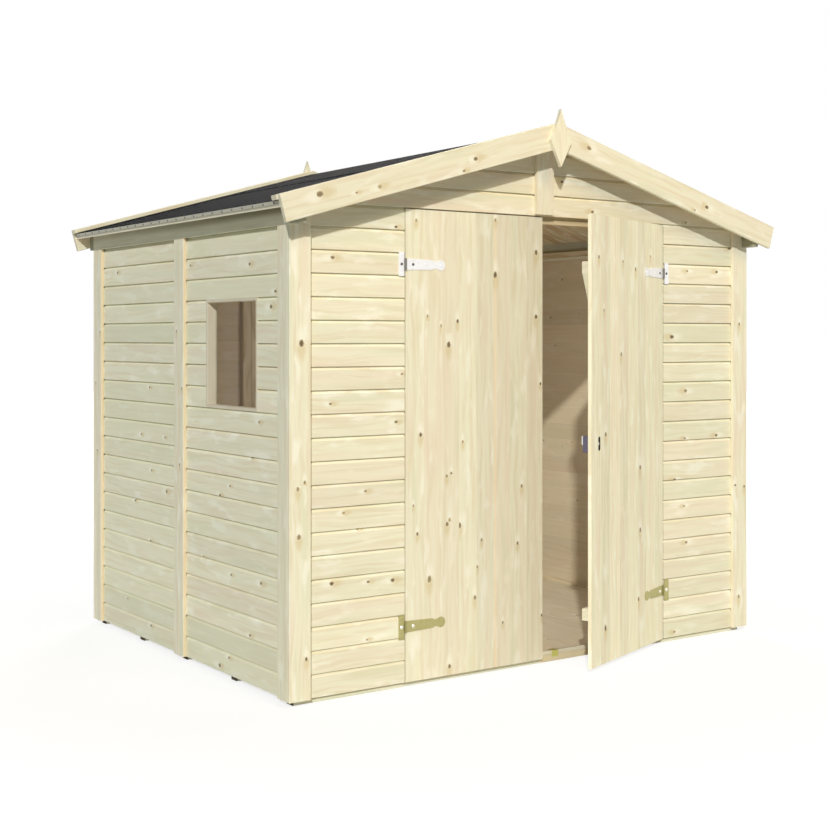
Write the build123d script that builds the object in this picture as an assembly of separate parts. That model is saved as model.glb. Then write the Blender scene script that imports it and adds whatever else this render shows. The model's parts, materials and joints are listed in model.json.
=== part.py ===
from build123d import *
import math
import os

# A gable-front garden shed of shiplap boards with a pair of ledged board doors.
# The right door stands ajar. Millimetres, front towards -Y, ground at z = 0, and the
# origin is under the middle of the floor, on the underside of the middle bearer.

# Walls
WIDTH = 2440  # over the corner trims
DEPTH = 1896  # over the corner trims
WALL_BASE = 20  # lower edge of the wall boards above the ground
BOARD_COVER = 88  # height that one wall board shows
SIDE_BOARDS = 20  # boards up a side wall
FRONT_BOARDS = 21  # boards up to the top of the doorway
CLADDING = 16
TRIM = 16
TRIM_WIDTH = 92
BACK_PANELS = 3

# Wall frames
STUD_DEPTH = 28
STUD_WIDTH = 45
RAIL_HEIGHT = 28
TOP_RAIL_RISE = 40  # top of the side walls' top rails above their boards
STUD_PAIR_GAP = 2  # between the two studs at a panel joint
HEAD_RAIL_HEIGHT = 45
HEAD_RAIL_LAP = 31  # how far the rail over the doors hangs below the doorway's top

# Floor
BEARER_COUNT = 5
BEARER_WIDTH = 45
BEARER_HEIGHT = 28
FLOOR_BOARD = 16

# Roof
ROOF_PITCH = 15.8  # degrees
EAVES_BEAM_HEIGHT = 81  # at the beam's outer face
ROOF_BOARD = 16
FELT = 3
FELT_LIP = 16  # how far the felt is folded down over the eaves edge
EAVES_OVERHANG = 77  # edge of the felt beyond the side trims
FRONT_OVERHANG = 86  # face of the front barge boards beyond the front trims
BACK_OVERHANG = 60
RIDGE_BEAM_WIDTH = 45
RIDGE_BEAM_HEIGHT = 95
EAVES_BATTEN = 18
EAVES_BATTEN_HEIGHT = 26
VERGE_BATTEN = 18
VERGE_BATTEN_WIDTH = 38
VERGE_END = 6  # end of the verge battens beyond the barge boards
BARGE = 18
BARGE_WIDTH = 104
BARGE_END = 6  # end of the barge boards beyond the felt

# Finials
FINIAL = 16
FINIAL_WIDTH = 112
FINIAL_HEIGHT = 238
FINIAL_TIP = 55  # above the top corner of the barge boards
FINIAL_LOWER_SHARE = 0.45  # widest place as a share of the height
FINIAL_HOLLOW = 4  # how far the upper sides bow in

# Window in the front panel of the left wall
WINDOW_WIDTH = 440
WINDOW_SETBACK = 279  # front edge of the window behind the front trims
WINDOW_FIRST_BOARD = 12  # whole boards below the window
WINDOW_BOARDS = 5
LINING = 12
PANE = 3
PANE_INSET = 4  # pane inside the lining's inner edge

# Doors
DOORWAY_WIDTH = 1396
DOOR_GAP = 5
LEAF = 16
LEDGE = 28
LEDGE_HEIGHT = 48
LEDGE_SETBACK = 2  # from the leaf's free edge
LEDGE_HINGE_SETBACK = 12  # from the leaf's hinge edge
HINGE_SETBACKS = (217, 216)  # hinge and ledge centres from the leaf's lower and upper ends
RIGHT_DOOR_ANGLE = 21  # degrees that the right door stands open

# T-hinges
HINGE_METAL = 2.5
PLATE_WIDTH = 27
PLATE_HEIGHT = 94
STRAP_LENGTH = 190
STRAP_ROOT = 44
STRAP_TAPER_END = 37
STRAP_NECK = 27
STRAP_ROUND = 41
STRAP_TAPER_STOP = 41  # end of the taper before the round end's centre
STRAP_NECK_START = 31  # start of the neck before the round end's centre
KNUCKLE_RADIUS = 4.5
KNUCKLE_STANDOFF = 5.3  # pin's centre in front of the wall boards
STRAP_KNUCKLE = 16
KNUCKLE_GAP = 0.6
PIN_RADIUS = 2.2
PIN_CLEARANCE = 0.2
PIN_HEAD = 1.5

# Lock on the right door and the keep on the threshold
LOCK_HEIGHT = 908  # centre above the wall base
LOCK_CASE_LENGTH = 90
LOCK_CASE_HEIGHT = 66
LOCK_CASE = 24
LOCK_ROUNDING = 2
LOCK_LATCH = 5
LOCK_LATCH_HEIGHT = 36
LOCK_LATCH_LENGTH = 20
KEYHOLE_SETBACK = 70  # from the leaf's free edge
KEYHOLE_WIDTH = 18
KEYHOLE_HEIGHT = 58
LOCK_NOSE_RADIUS = 7
LOCK_NOSE_INSET = 3
KEEP_OFFSET = 84  # right of the shed's middle
KEEP_WIDTH = 36
KEEP_LEG = 28
KEEP_METAL = 2

# Planes that many pieces share
X_TRIM = WIDTH / 2
X_FACE = X_TRIM - TRIM
X_FRAME = X_FACE - CLADDING
X_INSIDE = X_FRAME - STUD_DEPTH
Y_TRIM = DEPTH / 2
Y_FACE = Y_TRIM - TRIM
Y_FRAME = Y_FACE - CLADDING
Y_INSIDE = Y_FRAME - STUD_DEPTH
FLOOR_TOP = BEARER_HEIGHT + FLOOR_BOARD
SIDE_TOP = WALL_BASE + SIDE_BOARDS * BOARD_COVER
DOOR_TOP = WALL_BASE + FRONT_BOARDS * BOARD_COVER
TOP_RAIL_TOP = SIDE_TOP + TOP_RAIL_RISE
STUD_BASE = BEARER_HEIGHT + RAIL_HEIGHT
HEAD_RAIL_BASE = DOOR_TOP - HEAD_RAIL_LAP
HALF_DOORWAY = DOORWAY_WIDTH / 2

# The roof's section: heights over the underside of the boards, square to the slope
SLOPE = math.radians(ROOF_PITCH)
RIDGE_UNDERSIDE = SIDE_TOP + EAVES_BEAM_HEIGHT + X_TRIM * math.tan(SLOPE)
FELT_TOP = ROOF_BOARD + FELT
VERGE_TOP = FELT_TOP + VERGE_BATTEN
BARGE_BASE = VERGE_TOP - BARGE_WIDTH
FELT_EDGE = (X_TRIM + EAVES_OVERHANG - FELT_TOP * math.sin(SLOPE)) / math.cos(SLOPE)
BATTEN_EDGE = FELT_EDGE - FELT
BOARD_EDGE = BATTEN_EDGE - EAVES_BATTEN
BARGE_EDGE = FELT_EDGE + BARGE_END
VERGE_EDGE = BARGE_EDGE + VERGE_END
Y_BARGE_FRONT = -Y_TRIM - FRONT_OVERHANG
Y_BARGE_BACK = Y_TRIM + BACK_OVERHANG
Y_ROOF_FRONT = Y_BARGE_FRONT + BARGE
Y_ROOF_BACK = Y_BARGE_BACK - BARGE

# The doors' hinge line and leaves
LEAF_WIDTH = (DOORWAY_WIDTH - 3 * DOOR_GAP) / 2
LEAF_TOP = DOOR_TOP - DOOR_GAP
PIVOT_X = HALF_DOORWAY - DOOR_GAP / 2
PIVOT_Y = -Y_FACE - KNUCKLE_STANDOFF
Y_LEAF_BACK = -Y_FACE + LEAF
Y_LEDGE_BACK = Y_LEAF_BACK + LEDGE
LEAF_HINGE_X = HALF_DOORWAY - DOOR_GAP
LEAF_FREE_X = LEAF_HINGE_X - LEAF_WIDTH


def box(x, y, z):
    """A board or slab between two limits along each axis."""
    size = [max(span) - min(span) for span in (x, y, z)]
    middle = [(span[0] + span[1]) / 2 for span in (x, y, z)]
    return Pos(*middle) * Box(*size)


def both_sides(make):
    """The same piece on the left and on the right."""
    right = make()
    return mirror(right, about=Plane.YZ) + right


def slope_point(along, above):
    """A point (x, z) of the right slope: distance down it, and height over the boards' underside."""
    x = along * math.cos(SLOPE) + above * math.sin(SLOPE)
    z = RIDGE_UNDERSIDE - along * math.sin(SLOPE) + above * math.cos(SLOPE)
    return x, z


def ridge_point(above):
    """Where a layer of the right slope meets the middle of the shed."""
    return slope_point(-above * math.tan(SLOPE), above)


def along_y(points, y):
    """An outline in x and z, drawn out between two y limits."""
    face = make_face(Polyline(*[(px, 0, pz) for px, pz in points], close=True))
    start, length = min(y), abs(y[1] - y[0])
    return Pos(0, start, 0) * extrude(face, amount=length, dir=(0, 1, 0))


def slope_layer(low, high, edge, y, side):
    """A layer of one slope, mitred at the ridge and cut square to the slope at its edge."""
    outline = [ridge_point(low), slope_point(edge, low), slope_point(edge, high), ridge_point(high)]
    return along_y([(side * px, pz) for px, pz in outline], y)


def roof_space():
    """All the space under the roof boards, to cut walls and trims to the slopes."""
    foot = slope_point(VERGE_EDGE, 0)
    outline = [(-foot[0], -WALL_BASE), (foot[0], -WALL_BASE), foot]
    outline += [(0, RIDGE_UNDERSIDE), (-foot[0], foot[1])]
    return along_y(outline, (Y_BARGE_FRONT, Y_BARGE_BACK))


def under_roof(piece):
    """The part of a piece that lies under the roof boards."""
    return Part() + (piece & roof_space()).solids()


def floor_bearers():
    """Five bearers from left to right, under the wall frames and the deck."""
    pitch = (2 * Y_FRAME - BEARER_WIDTH) / (BEARER_COUNT - 1)
    bearers = Part()
    for n in range(BEARER_COUNT):
        y = -Y_FRAME + n * pitch
        bearers += box((-X_FRAME, X_FRAME), (y, y + BEARER_WIDTH), (0, BEARER_HEIGHT))
    return bearers - door_rebate() - threshold_keep_leg()


def floor_deck():
    """Boards laid between the wall frames, with a tongue out to the doors as their threshold."""
    z = (BEARER_HEIGHT, FLOOR_TOP)
    deck = box((-X_INSIDE, X_INSIDE), (-Y_INSIDE, Y_INSIDE), z)
    deck += box((-HALF_DOORWAY, HALF_DOORWAY), (-Y_FRAME, -Y_INSIDE), z)
    return deck - door_rebate() - threshold_keep()


def door_rebate():
    """The space that the shut doors and their clearance take out of the threshold and the rail over them."""
    y = (-Y_TRIM, Y_LEAF_BACK + DOOR_GAP)
    return box((-HALF_DOORWAY, HALF_DOORWAY), y, (-WALL_BASE, DOOR_TOP))


def threshold_keep_leg():
    """The keep's upright leg, let in flush with the threshold's front."""
    x = (KEEP_OFFSET - KEEP_WIDTH / 2, KEEP_OFFSET + KEEP_WIDTH / 2)
    y = Y_LEAF_BACK + DOOR_GAP
    return box(x, (y, y + KEEP_METAL), (FLOOR_TOP - KEEP_LEG, FLOOR_TOP))


def threshold_keep():
    """A metal angle let into the threshold's corner."""
    x = (KEEP_OFFSET - KEEP_WIDTH / 2, KEEP_OFFSET + KEEP_WIDTH / 2)
    y = Y_LEAF_BACK + DOOR_GAP
    top_leg = box(x, (y, y + KEEP_LEG), (FLOOR_TOP - KEEP_METAL, FLOOR_TOP))
    return threshold_keep_leg() + top_leg


def eaves_beam(side):
    """A beam on a side wall's boards and trims, bevelled under the roof, from barge to barge."""
    top = RIDGE_UNDERSIDE
    beam = box((side * X_FRAME, side * X_TRIM), (Y_ROOF_FRONT, Y_ROOF_BACK), (SIDE_TOP, top))
    return under_roof(beam)


def eaves_beams():
    return eaves_beam(-1) + eaves_beam(1)


def end_wall(x, y, z):
    """Boards of the front or back wall, cut to the roof and round the eaves beams."""
    return under_roof(box(x, y, z)) - eaves_beams()


def front_wall(side):
    x = (side * HALF_DOORWAY, side * X_FACE)
    return end_wall(x, (-Y_FACE, -Y_FRAME), (WALL_BASE, DOOR_TOP))


def gable(y):
    return end_wall((-X_FACE, X_FACE), y, (DOOR_TOP, RIDGE_UNDERSIDE))


def back_wall():
    return end_wall((-X_FACE, X_FACE), (Y_FRAME, Y_FACE), (WALL_BASE, DOOR_TOP))


def side_wall(side, y):
    return box((side * X_FRAME, side * X_FACE), y, (WALL_BASE, SIDE_TOP))


def window_limits():
    """The window's limits along y and z, which take whole boards."""
    y = -Y_TRIM + WINDOW_SETBACK
    z = WALL_BASE + WINDOW_FIRST_BOARD * BOARD_COVER
    return (y, y + WINDOW_WIDTH), (z, z + WINDOW_BOARDS * BOARD_COVER)


def window_opening(inset=0):
    y, z = window_limits()
    y = (y[0] + inset, y[1] - inset)
    z = (z[0] + inset, z[1] - inset)
    return box((-X_TRIM, -X_INSIDE), y, z)


def window_lining():
    """Thin boards round the window, from the face of the wall to the inside of its frame."""
    y, z = window_limits()
    ring = box((-X_FACE, -X_INSIDE), y, z)
    return ring - window_opening(LINING)


def window_pane():
    y, z = window_limits()
    y = (y[0] + LINING, y[1] - LINING)
    z = (z[0] + LINING, z[1] - LINING)
    x = -X_INSIDE - PANE_INSET
    return box((x - PANE, x), y, z)


def side_studs():
    """Uprights of the side walls: at the corners, in pairs at the panel joint and beside the window."""
    stud_z = (STUD_BASE, TOP_RAIL_TOP - RAIL_HEIGHT)
    half_gap = STUD_PAIR_GAP / 2
    spans = []
    for end in (-1, 1):
        spans.append((end * Y_FRAME, end * (Y_FRAME - STUD_WIDTH)))
        spans.append((end * half_gap, end * (half_gap + STUD_WIDTH)))
    studs = Part()
    for y in spans:
        studs += both_sides(lambda: box((X_INSIDE, X_FRAME), y, stud_z))
    window_y = window_limits()[0]
    for y in ((window_y[0] - STUD_WIDTH, window_y[0]), (window_y[1], window_y[1] + STUD_WIDTH)):
        studs += box((-X_FRAME, -X_INSIDE), y, stud_z)
    return studs


def side_rails():
    """Bottom and top rails of the side walls, and the rails under and over the window."""
    y = (-Y_FRAME, Y_FRAME)
    rails = both_sides(lambda: box((X_INSIDE, X_FRAME), y, (BEARER_HEIGHT, STUD_BASE)))
    top = (TOP_RAIL_TOP - RAIL_HEIGHT, TOP_RAIL_TOP)
    rails += both_sides(lambda: box((X_INSIDE, X_FRAME), y, top))
    window_y, window_z = window_limits()
    for z in ((window_z[0] - RAIL_HEIGHT, window_z[0]), (window_z[1], window_z[1] + RAIL_HEIGHT)):
        rails += box((-X_FRAME, -X_INSIDE), window_y, z)
    return rails


def back_joints():
    return [-X_FACE + n * 2 * X_FACE / BACK_PANELS for n in range(1, BACK_PANELS)]


def end_studs():
    """Uprights of the front and back walls, with pairs at the back wall's panel joints."""
    z = (STUD_BASE, HEAD_RAIL_BASE)
    front = (-Y_FRAME, -Y_INSIDE)
    back = (Y_INSIDE, Y_FRAME)
    corner = (X_INSIDE - STUD_WIDTH, X_INSIDE)
    jamb = (HALF_DOORWAY, HALF_DOORWAY + STUD_WIDTH)
    studs = both_sides(lambda: box(corner, front, z) + box(jamb, front, z) + box(corner, back, z))
    half_gap = STUD_PAIR_GAP / 2
    for joint in back_joints():
        for end in (-1, 1):
            x = (joint + end * half_gap, joint + end * (half_gap + STUD_WIDTH))
            studs += box(x, back, z)
    return studs


def end_rails():
    """Bottom rails of the front and back walls, and their rails at the height of the doorway's top."""
    front = (-Y_FRAME, -Y_INSIDE)
    back = (Y_INSIDE, Y_FRAME)
    low = (BEARER_HEIGHT, STUD_BASE)
    head = (HEAD_RAIL_BASE, HEAD_RAIL_BASE + HEAD_RAIL_HEIGHT)
    rails = both_sides(lambda: box((HALF_DOORWAY, X_INSIDE), front, low))
    rails += box((-X_INSIDE, X_INSIDE), back, low)
    for y in (front, back):
        rails += under_roof(box((-X_INSIDE, X_INSIDE), y, head)) - door_rebate()
    return rails


def end_trims(end, joints):
    """Upright boards on the front or back: one at each corner and one over each panel joint."""
    y = (end * Y_FACE, end * Y_TRIM)
    corner = (X_TRIM - TRIM_WIDTH, X_TRIM)
    trims = both_sides(lambda: end_wall(corner, y, (WALL_BASE, RIDGE_UNDERSIDE)))
    for x in joints:
        trims += end_wall((x - TRIM_WIDTH / 2, x + TRIM_WIDTH / 2), y, (WALL_BASE, RIDGE_UNDERSIDE))
    return trims


def side_trims(side):
    """Upright boards on a side wall: at both corners, behind the end trims, and over the panel joint."""
    x = (side * X_FACE, side * X_TRIM)
    z = (WALL_BASE, SIDE_TOP)
    trims = box(x, (-TRIM_WIDTH / 2, TRIM_WIDTH / 2), z)
    for end in (-1, 1):
        trims += box(x, (end * Y_FACE, end * (Y_TRIM - TRIM_WIDTH)), z)
    return trims


def gable_batten():
    """The short batten up the middle of the front gable."""
    x = (-TRIM_WIDTH / 2, TRIM_WIDTH / 2)
    return end_wall(x, (-Y_TRIM, -Y_FACE), (DOOR_TOP + DOOR_GAP, RIDGE_UNDERSIDE))


def ridge_beam():
    """A beam under the ridge between the gables, bevelled on top to both slopes."""
    x = (-RIDGE_BEAM_WIDTH / 2, RIDGE_BEAM_WIDTH / 2)
    z = (RIDGE_UNDERSIDE - RIDGE_BEAM_HEIGHT, RIDGE_UNDERSIDE)
    return under_roof(box(x, (-Y_FRAME, Y_FRAME), z))


def roof_boards(side):
    return slope_layer(0, ROOF_BOARD, BOARD_EDGE, (Y_ROOF_FRONT, Y_ROOF_BACK), side)


def felt(side):
    """A sheet over one slope, folded down over the eaves batten."""
    y = (Y_ROOF_FRONT, Y_ROOF_BACK)
    sheet = slope_layer(ROOF_BOARD, FELT_TOP, FELT_EDGE, y, side)
    lip = [slope_point(along, above) for along, above in (
        (BATTEN_EDGE, ROOF_BOARD - FELT_LIP),
        (FELT_EDGE, ROOF_BOARD - FELT_LIP),
        (FELT_EDGE, ROOF_BOARD),
        (BATTEN_EDGE, ROOF_BOARD),
    )]
    return sheet + along_y([(side * px, pz) for px, pz in lip], y)


def eaves_batten(side):
    """A batten along the lower edge of the roof boards, under the fold of the felt."""
    low = ROOF_BOARD - EAVES_BATTEN_HEIGHT
    section = [slope_point(along, above) for along, above in (
        (BOARD_EDGE, low),
        (BATTEN_EDGE, low),
        (BATTEN_EDGE, ROOF_BOARD),
        (BOARD_EDGE, ROOF_BOARD),
    )]
    return along_y([(side * px, pz) for px, pz in section], (Y_ROOF_FRONT, Y_ROOF_BACK))


def verge_battens(side):
    """Battens on the felt along the front and back edges of one slope."""
    front = (Y_ROOF_FRONT, Y_ROOF_FRONT + VERGE_BATTEN_WIDTH)
    back = (Y_ROOF_BACK - VERGE_BATTEN_WIDTH, Y_ROOF_BACK)
    battens = slope_layer(FELT_TOP, VERGE_TOP, VERGE_EDGE, front, side)
    return battens + slope_layer(FELT_TOP, VERGE_TOP, VERGE_EDGE, back, side)


def barge_boards(side):
    """The front and back barge boards of one slope, cut square to the slope at the eaves."""
    front = slope_layer(BARGE_BASE, VERGE_TOP, BARGE_EDGE, (Y_BARGE_FRONT, Y_ROOF_FRONT), side)
    return front + slope_layer(BARGE_BASE, VERGE_TOP, BARGE_EDGE, (Y_ROOF_BACK, Y_BARGE_BACK), side)


def finial(y):
    """A four-pointed board: straight sides below its widest place, hollow sides above."""
    tip = ridge_point(VERGE_TOP)[1] + FINIAL_TIP
    foot = tip - FINIAL_HEIGHT
    wide = foot + FINIAL_HEIGHT * FINIAL_LOWER_SHARE
    half = FINIAL_WIDTH / 2
    middle = (half / 2 - FINIAL_HOLLOW, (wide + tip) / 2)
    right = ThreePointArc((half, 0, wide), (middle[0], 0, middle[1]), (0, 0, tip))
    left = ThreePointArc((0, 0, tip), (-middle[0], 0, middle[1]), (-half, 0, wide))
    below = Polyline((-half, 0, wide), (0, 0, foot), (half, 0, wide))
    board = extrude(make_face([right, left, below]), amount=FINIAL, dir=(0, 1, 0))
    return Pos(0, y, 0) * board


def finials():
    return finial(Y_BARGE_FRONT - FINIAL) + finial(Y_BARGE_BACK)


def hinge_levels():
    return WALL_BASE + HINGE_SETBACKS[0], LEAF_TOP - HINGE_SETBACKS[1]


def right_leaf():
    """The right door's boards, as shut, with the slot for the key."""
    leaf = box((LEAF_FREE_X, LEAF_HINGE_X), (-Y_FACE, Y_LEAF_BACK), (WALL_BASE, LEAF_TOP))
    slot = extrude(SlotOverall(KEYHOLE_HEIGHT, KEYHOLE_WIDTH), amount=LEAF, both=True)
    place = Pos(LEAF_FREE_X + KEYHOLE_SETBACK, -Y_FACE, WALL_BASE + LOCK_HEIGHT)
    return leaf - place * Rot(0, 90, 0) * Rot(90, 0, 0) * slot


def left_leaf():
    leaf = box((LEAF_FREE_X, LEAF_HINGE_X), (-Y_FACE, Y_LEAF_BACK), (WALL_BASE, LEAF_TOP))
    return mirror(leaf, about=Plane.YZ)


def ledges():
    """Two boards across the back of the right door, as shut, at the height of its hinges."""
    x = (LEAF_FREE_X + LEDGE_SETBACK, LEAF_HINGE_X - LEDGE_HINGE_SETBACK)
    boards = Part()
    for z in hinge_levels():
        boards += box(x, (Y_LEAF_BACK, Y_LEDGE_BACK), (z - LEDGE_HEIGHT / 2, z + LEDGE_HEIGHT / 2))
    return boards


def brace():
    """The diagonal between the ledges, from the hinge side below to the free side above."""
    low, high = hinge_levels()
    low += LEDGE_HEIGHT / 2
    high -= LEDGE_HEIGHT / 2
    free = LEAF_FREE_X + LEDGE_SETBACK
    hinge = LEAF_HINGE_X - LEDGE_HINGE_SETBACK
    cut = LEDGE_HEIGHT * math.hypot(high - low, hinge - free) / (high - low)
    outline = [(hinge, low), (hinge - cut, low), (free, high), (free + cut, high)]
    return along_y(outline, (Y_LEAF_BACK, Y_LEDGE_BACK))


def on_pin_line(z, radius, length):
    """A round bar on the right door's pin line, centred at a height."""
    return Pos(PIVOT_X, PIVOT_Y, z) * Cylinder(radius, length)


def hinge_plate(z):
    """The upright plate on the wall, with its two knuckles and the pin."""
    edge = PIVOT_X + KNUCKLE_RADIUS
    y = (-Y_FACE - HINGE_METAL, -Y_FACE)
    plate = box((edge, edge + PLATE_WIDTH), y, (z - PLATE_HEIGHT / 2, z + PLATE_HEIGHT / 2))
    corners = plate.edges().filter_by(Axis.Y)
    plate = fillet(corners, radius=HINGE_METAL)
    length = (STRAP_ROOT - STRAP_KNUCKLE) / 2 - KNUCKLE_GAP
    for end in (-1, 1):
        middle = z + end * (STRAP_ROOT - length) / 2
        plate += on_pin_line(middle, KNUCKLE_RADIUS, length)
        plate += box((PIVOT_X, edge + KNUCKLE_RADIUS), y, (middle - length / 2, middle + length / 2))
    return plate + on_pin_line(z, PIN_RADIUS, STRAP_ROOT + 2 * PIN_HEAD)


def hinge_strap(z):
    """The strap on the door: a tapering blade, a neck and a round end, with the middle knuckle."""
    root = KNUCKLE_RADIUS + KNUCKLE_GAP
    centre = STRAP_LENGTH - STRAP_ROUND / 2
    upper = [
        (root, STRAP_ROOT / 2),
        (centre - STRAP_TAPER_STOP, STRAP_TAPER_END / 2),
        (centre - STRAP_NECK_START, STRAP_NECK / 2),
        (centre, STRAP_NECK / 2),
    ]
    lower = [(px, -pz) for px, pz in reversed(upper)]
    outline = make_face(Polyline(*upper, *lower, close=True)) + Pos(centre, 0) * Circle(STRAP_ROUND / 2)
    blade = Rot(90, 0, 0) * extrude(outline, amount=HINGE_METAL)
    blade = Pos(PIVOT_X, -Y_FACE, z) * mirror(blade, about=Plane.YZ)
    web_y = (-Y_FACE - HINGE_METAL, -Y_FACE)
    web_x = (PIVOT_X - root - KNUCKLE_RADIUS, PIVOT_X)
    web = box(web_x, web_y, (z - STRAP_KNUCKLE / 2, z + STRAP_KNUCKLE / 2))
    barrel = on_pin_line(z, KNUCKLE_RADIUS, STRAP_KNUCKLE)
    bore = on_pin_line(z, PIN_RADIUS + PIN_CLEARANCE, STRAP_KNUCKLE)
    return blade + web + barrel - bore


def hinge_plates():
    low, high = hinge_levels()
    return hinge_plate(low) + hinge_plate(high)


def hinge_straps():
    low, high = hinge_levels()
    return hinge_strap(low) + hinge_strap(high)


def door_lock():
    """The rim lock behind the right door, as shut: a case, its latch end and the nose in the slot."""
    z = WALL_BASE + LOCK_HEIGHT
    free = LEAF_FREE_X + LEDGE_SETBACK
    back = Y_LEAF_BACK + LOCK_CASE
    case = box(
        (free, free + LOCK_CASE_LENGTH),
        (Y_LEAF_BACK, back),
        (z - LOCK_CASE_HEIGHT / 2, z + LOCK_CASE_HEIGHT / 2),
    )
    case = fillet(case.edges().filter_by(Axis.Y), radius=LOCK_ROUNDING)
    latch_top = z + LOCK_CASE_HEIGHT / 2
    latch = box(
        (free, free + LOCK_LATCH_LENGTH),
        (back, back + LOCK_LATCH),
        (latch_top - LOCK_LATCH_HEIGHT, latch_top),
    )
    length = LEAF - LOCK_NOSE_INSET
    nose = Rot(90, 0, 0) * Cylinder(LOCK_NOSE_RADIUS, length)
    key_x = LEAF_FREE_X + KEYHOLE_SETBACK
    return case + latch + Pos(key_x, Y_LEAF_BACK - length / 2, z) * nose


def as_ajar(piece):
    """A piece of the right door, turned open about its hinge line."""
    swing = Pos(PIVOT_X, PIVOT_Y, 0) * Rot(0, 0, RIGHT_DOOR_ANGLE) * Pos(-PIVOT_X, -PIVOT_Y, 0)
    return swing * piece


def on_left(piece):
    """A piece of the right door, as shut, mirrored for the left one."""
    return mirror(piece, about=Plane.YZ)


PARTS = {
    "floor_bearers": floor_bearers(),
    "floor_deck": floor_deck(),
    "threshold_keep": threshold_keep(),
    "front_wall_left": front_wall(-1),
    "front_wall_right": front_wall(1),
    "front_gable": gable((-Y_FACE, -Y_FRAME)),
    "left_wall_front": side_wall(-1, (-Y_FRAME, 0)) - window_opening(),
    "left_wall_rear": side_wall(-1, (0, Y_FRAME)),
    "right_wall_front": side_wall(1, (-Y_FRAME, 0)),
    "right_wall_rear": side_wall(1, (0, Y_FRAME)),
    "back_wall": back_wall(),
    "back_gable": gable((Y_FRAME, Y_FACE)),
    "side_wall_studs": side_studs(),
    "side_wall_rails": side_rails(),
    "end_wall_studs": end_studs(),
    "end_wall_rails": end_rails(),
    "front_trims": end_trims(-1, []) + gable_batten(),
    "back_trims": end_trims(1, back_joints()),
    "left_trims": side_trims(-1),
    "right_trims": side_trims(1),
    "eaves_beams": eaves_beams(),
    "ridge_beam": ridge_beam(),
    "roof_boards_left": roof_boards(-1),
    "roof_boards_right": roof_boards(1),
    "felt_left": felt(-1),
    "felt_right": felt(1),
    "eaves_battens": eaves_batten(-1) + eaves_batten(1),
    "verge_battens_left": verge_battens(-1),
    "verge_battens_right": verge_battens(1),
    "barge_boards_left": barge_boards(-1),
    "barge_boards_right": barge_boards(1),
    "finials": finials(),
    "window_lining": window_lining(),
    "window_pane": window_pane(),
    "left_hinge_plates": on_left(hinge_plates()),
    "right_hinge_plates": hinge_plates(),
    "left_door_leaf": left_leaf(),
    "left_door_ledges": on_left(ledges()),
    "left_door_brace": on_left(brace()),
    "left_hinge_straps": on_left(hinge_straps()),
    "right_door_leaf": as_ajar(right_leaf()),
    "right_door_ledges": as_ajar(ledges()),
    "right_door_brace": as_ajar(brace()),
    "right_hinge_straps": as_ajar(hinge_straps()),
    "right_door_lock": as_ajar(door_lock()),
}

os.makedirs("parts", exist_ok=True)
for name, part in PARTS.items():
    export_step(part, f"parts/{name}.step")
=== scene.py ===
import json
import math
import bpy
import mathutils
import numpy as np
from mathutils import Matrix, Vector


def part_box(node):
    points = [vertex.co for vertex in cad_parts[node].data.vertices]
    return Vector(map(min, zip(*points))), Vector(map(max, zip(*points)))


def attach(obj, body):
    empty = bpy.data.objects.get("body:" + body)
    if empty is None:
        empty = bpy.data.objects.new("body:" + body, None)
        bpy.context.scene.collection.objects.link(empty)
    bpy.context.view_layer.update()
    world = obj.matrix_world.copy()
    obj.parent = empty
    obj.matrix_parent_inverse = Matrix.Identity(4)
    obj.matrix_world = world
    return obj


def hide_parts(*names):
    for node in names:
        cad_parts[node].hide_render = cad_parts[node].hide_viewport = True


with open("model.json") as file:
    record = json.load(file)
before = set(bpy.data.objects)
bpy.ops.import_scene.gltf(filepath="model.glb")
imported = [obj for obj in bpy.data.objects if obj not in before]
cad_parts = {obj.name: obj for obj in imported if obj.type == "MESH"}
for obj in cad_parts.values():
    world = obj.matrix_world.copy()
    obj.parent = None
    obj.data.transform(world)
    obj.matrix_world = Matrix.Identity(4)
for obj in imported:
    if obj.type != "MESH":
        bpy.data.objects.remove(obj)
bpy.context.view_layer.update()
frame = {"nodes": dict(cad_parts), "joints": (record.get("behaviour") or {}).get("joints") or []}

# The camera stands off the shed's front left corner at chest height and looks level.
# The picture is shifted down, so that the uprights stay upright.
CAMERA_PLACE = (-3.7365, -5.3955, 1.3605)
CAMERA_TURN = math.radians(-34.63)
FOCAL_LENGTH = 60.4
SENSOR_WIDTH = 36
PICTURE_SHIFT = -0.092

camera_data = bpy.data.cameras.new("camera")
camera_data.lens = FOCAL_LENGTH
camera_data.sensor_width = SENSOR_WIDTH
camera_data.shift_y = PICTURE_SHIFT
camera = bpy.data.objects.new("camera", camera_data)
camera.location = CAMERA_PLACE
camera.rotation_euler = (math.pi / 2, 0, CAMERA_TURN)
bpy.context.scene.collection.objects.link(camera)
bpy.context.scene.camera = camera
bpy.context.scene.view_settings.view_transform = "Standard"

# A plain pale floor and an even white surround. The floor keeps the shed's soft shadow close
# by, and turns into the white of the surround further off, so that no horizon shows.
FLOOR_RADIUS = 30
FLOOR_SIDES = 96
FLOOR_COLOUR = (0.86, 0.86, 0.85)
FLOOR_FADE = (1.5, 4.5)  # from the shed's middle
FLOOR_GLOW = 0.62  # share of the surround's white in the floor near the shed
FLOOR_WHITE = 1.22  # brings the lit floor up to the surround's white
FLOOR_DROP = 0.0015
SKY_COLOUR = (0.50, 0.80, 1.0)
SKY_STRENGTH = 0.08
WHITE = (1.0, 1.0, 1.0)


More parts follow.
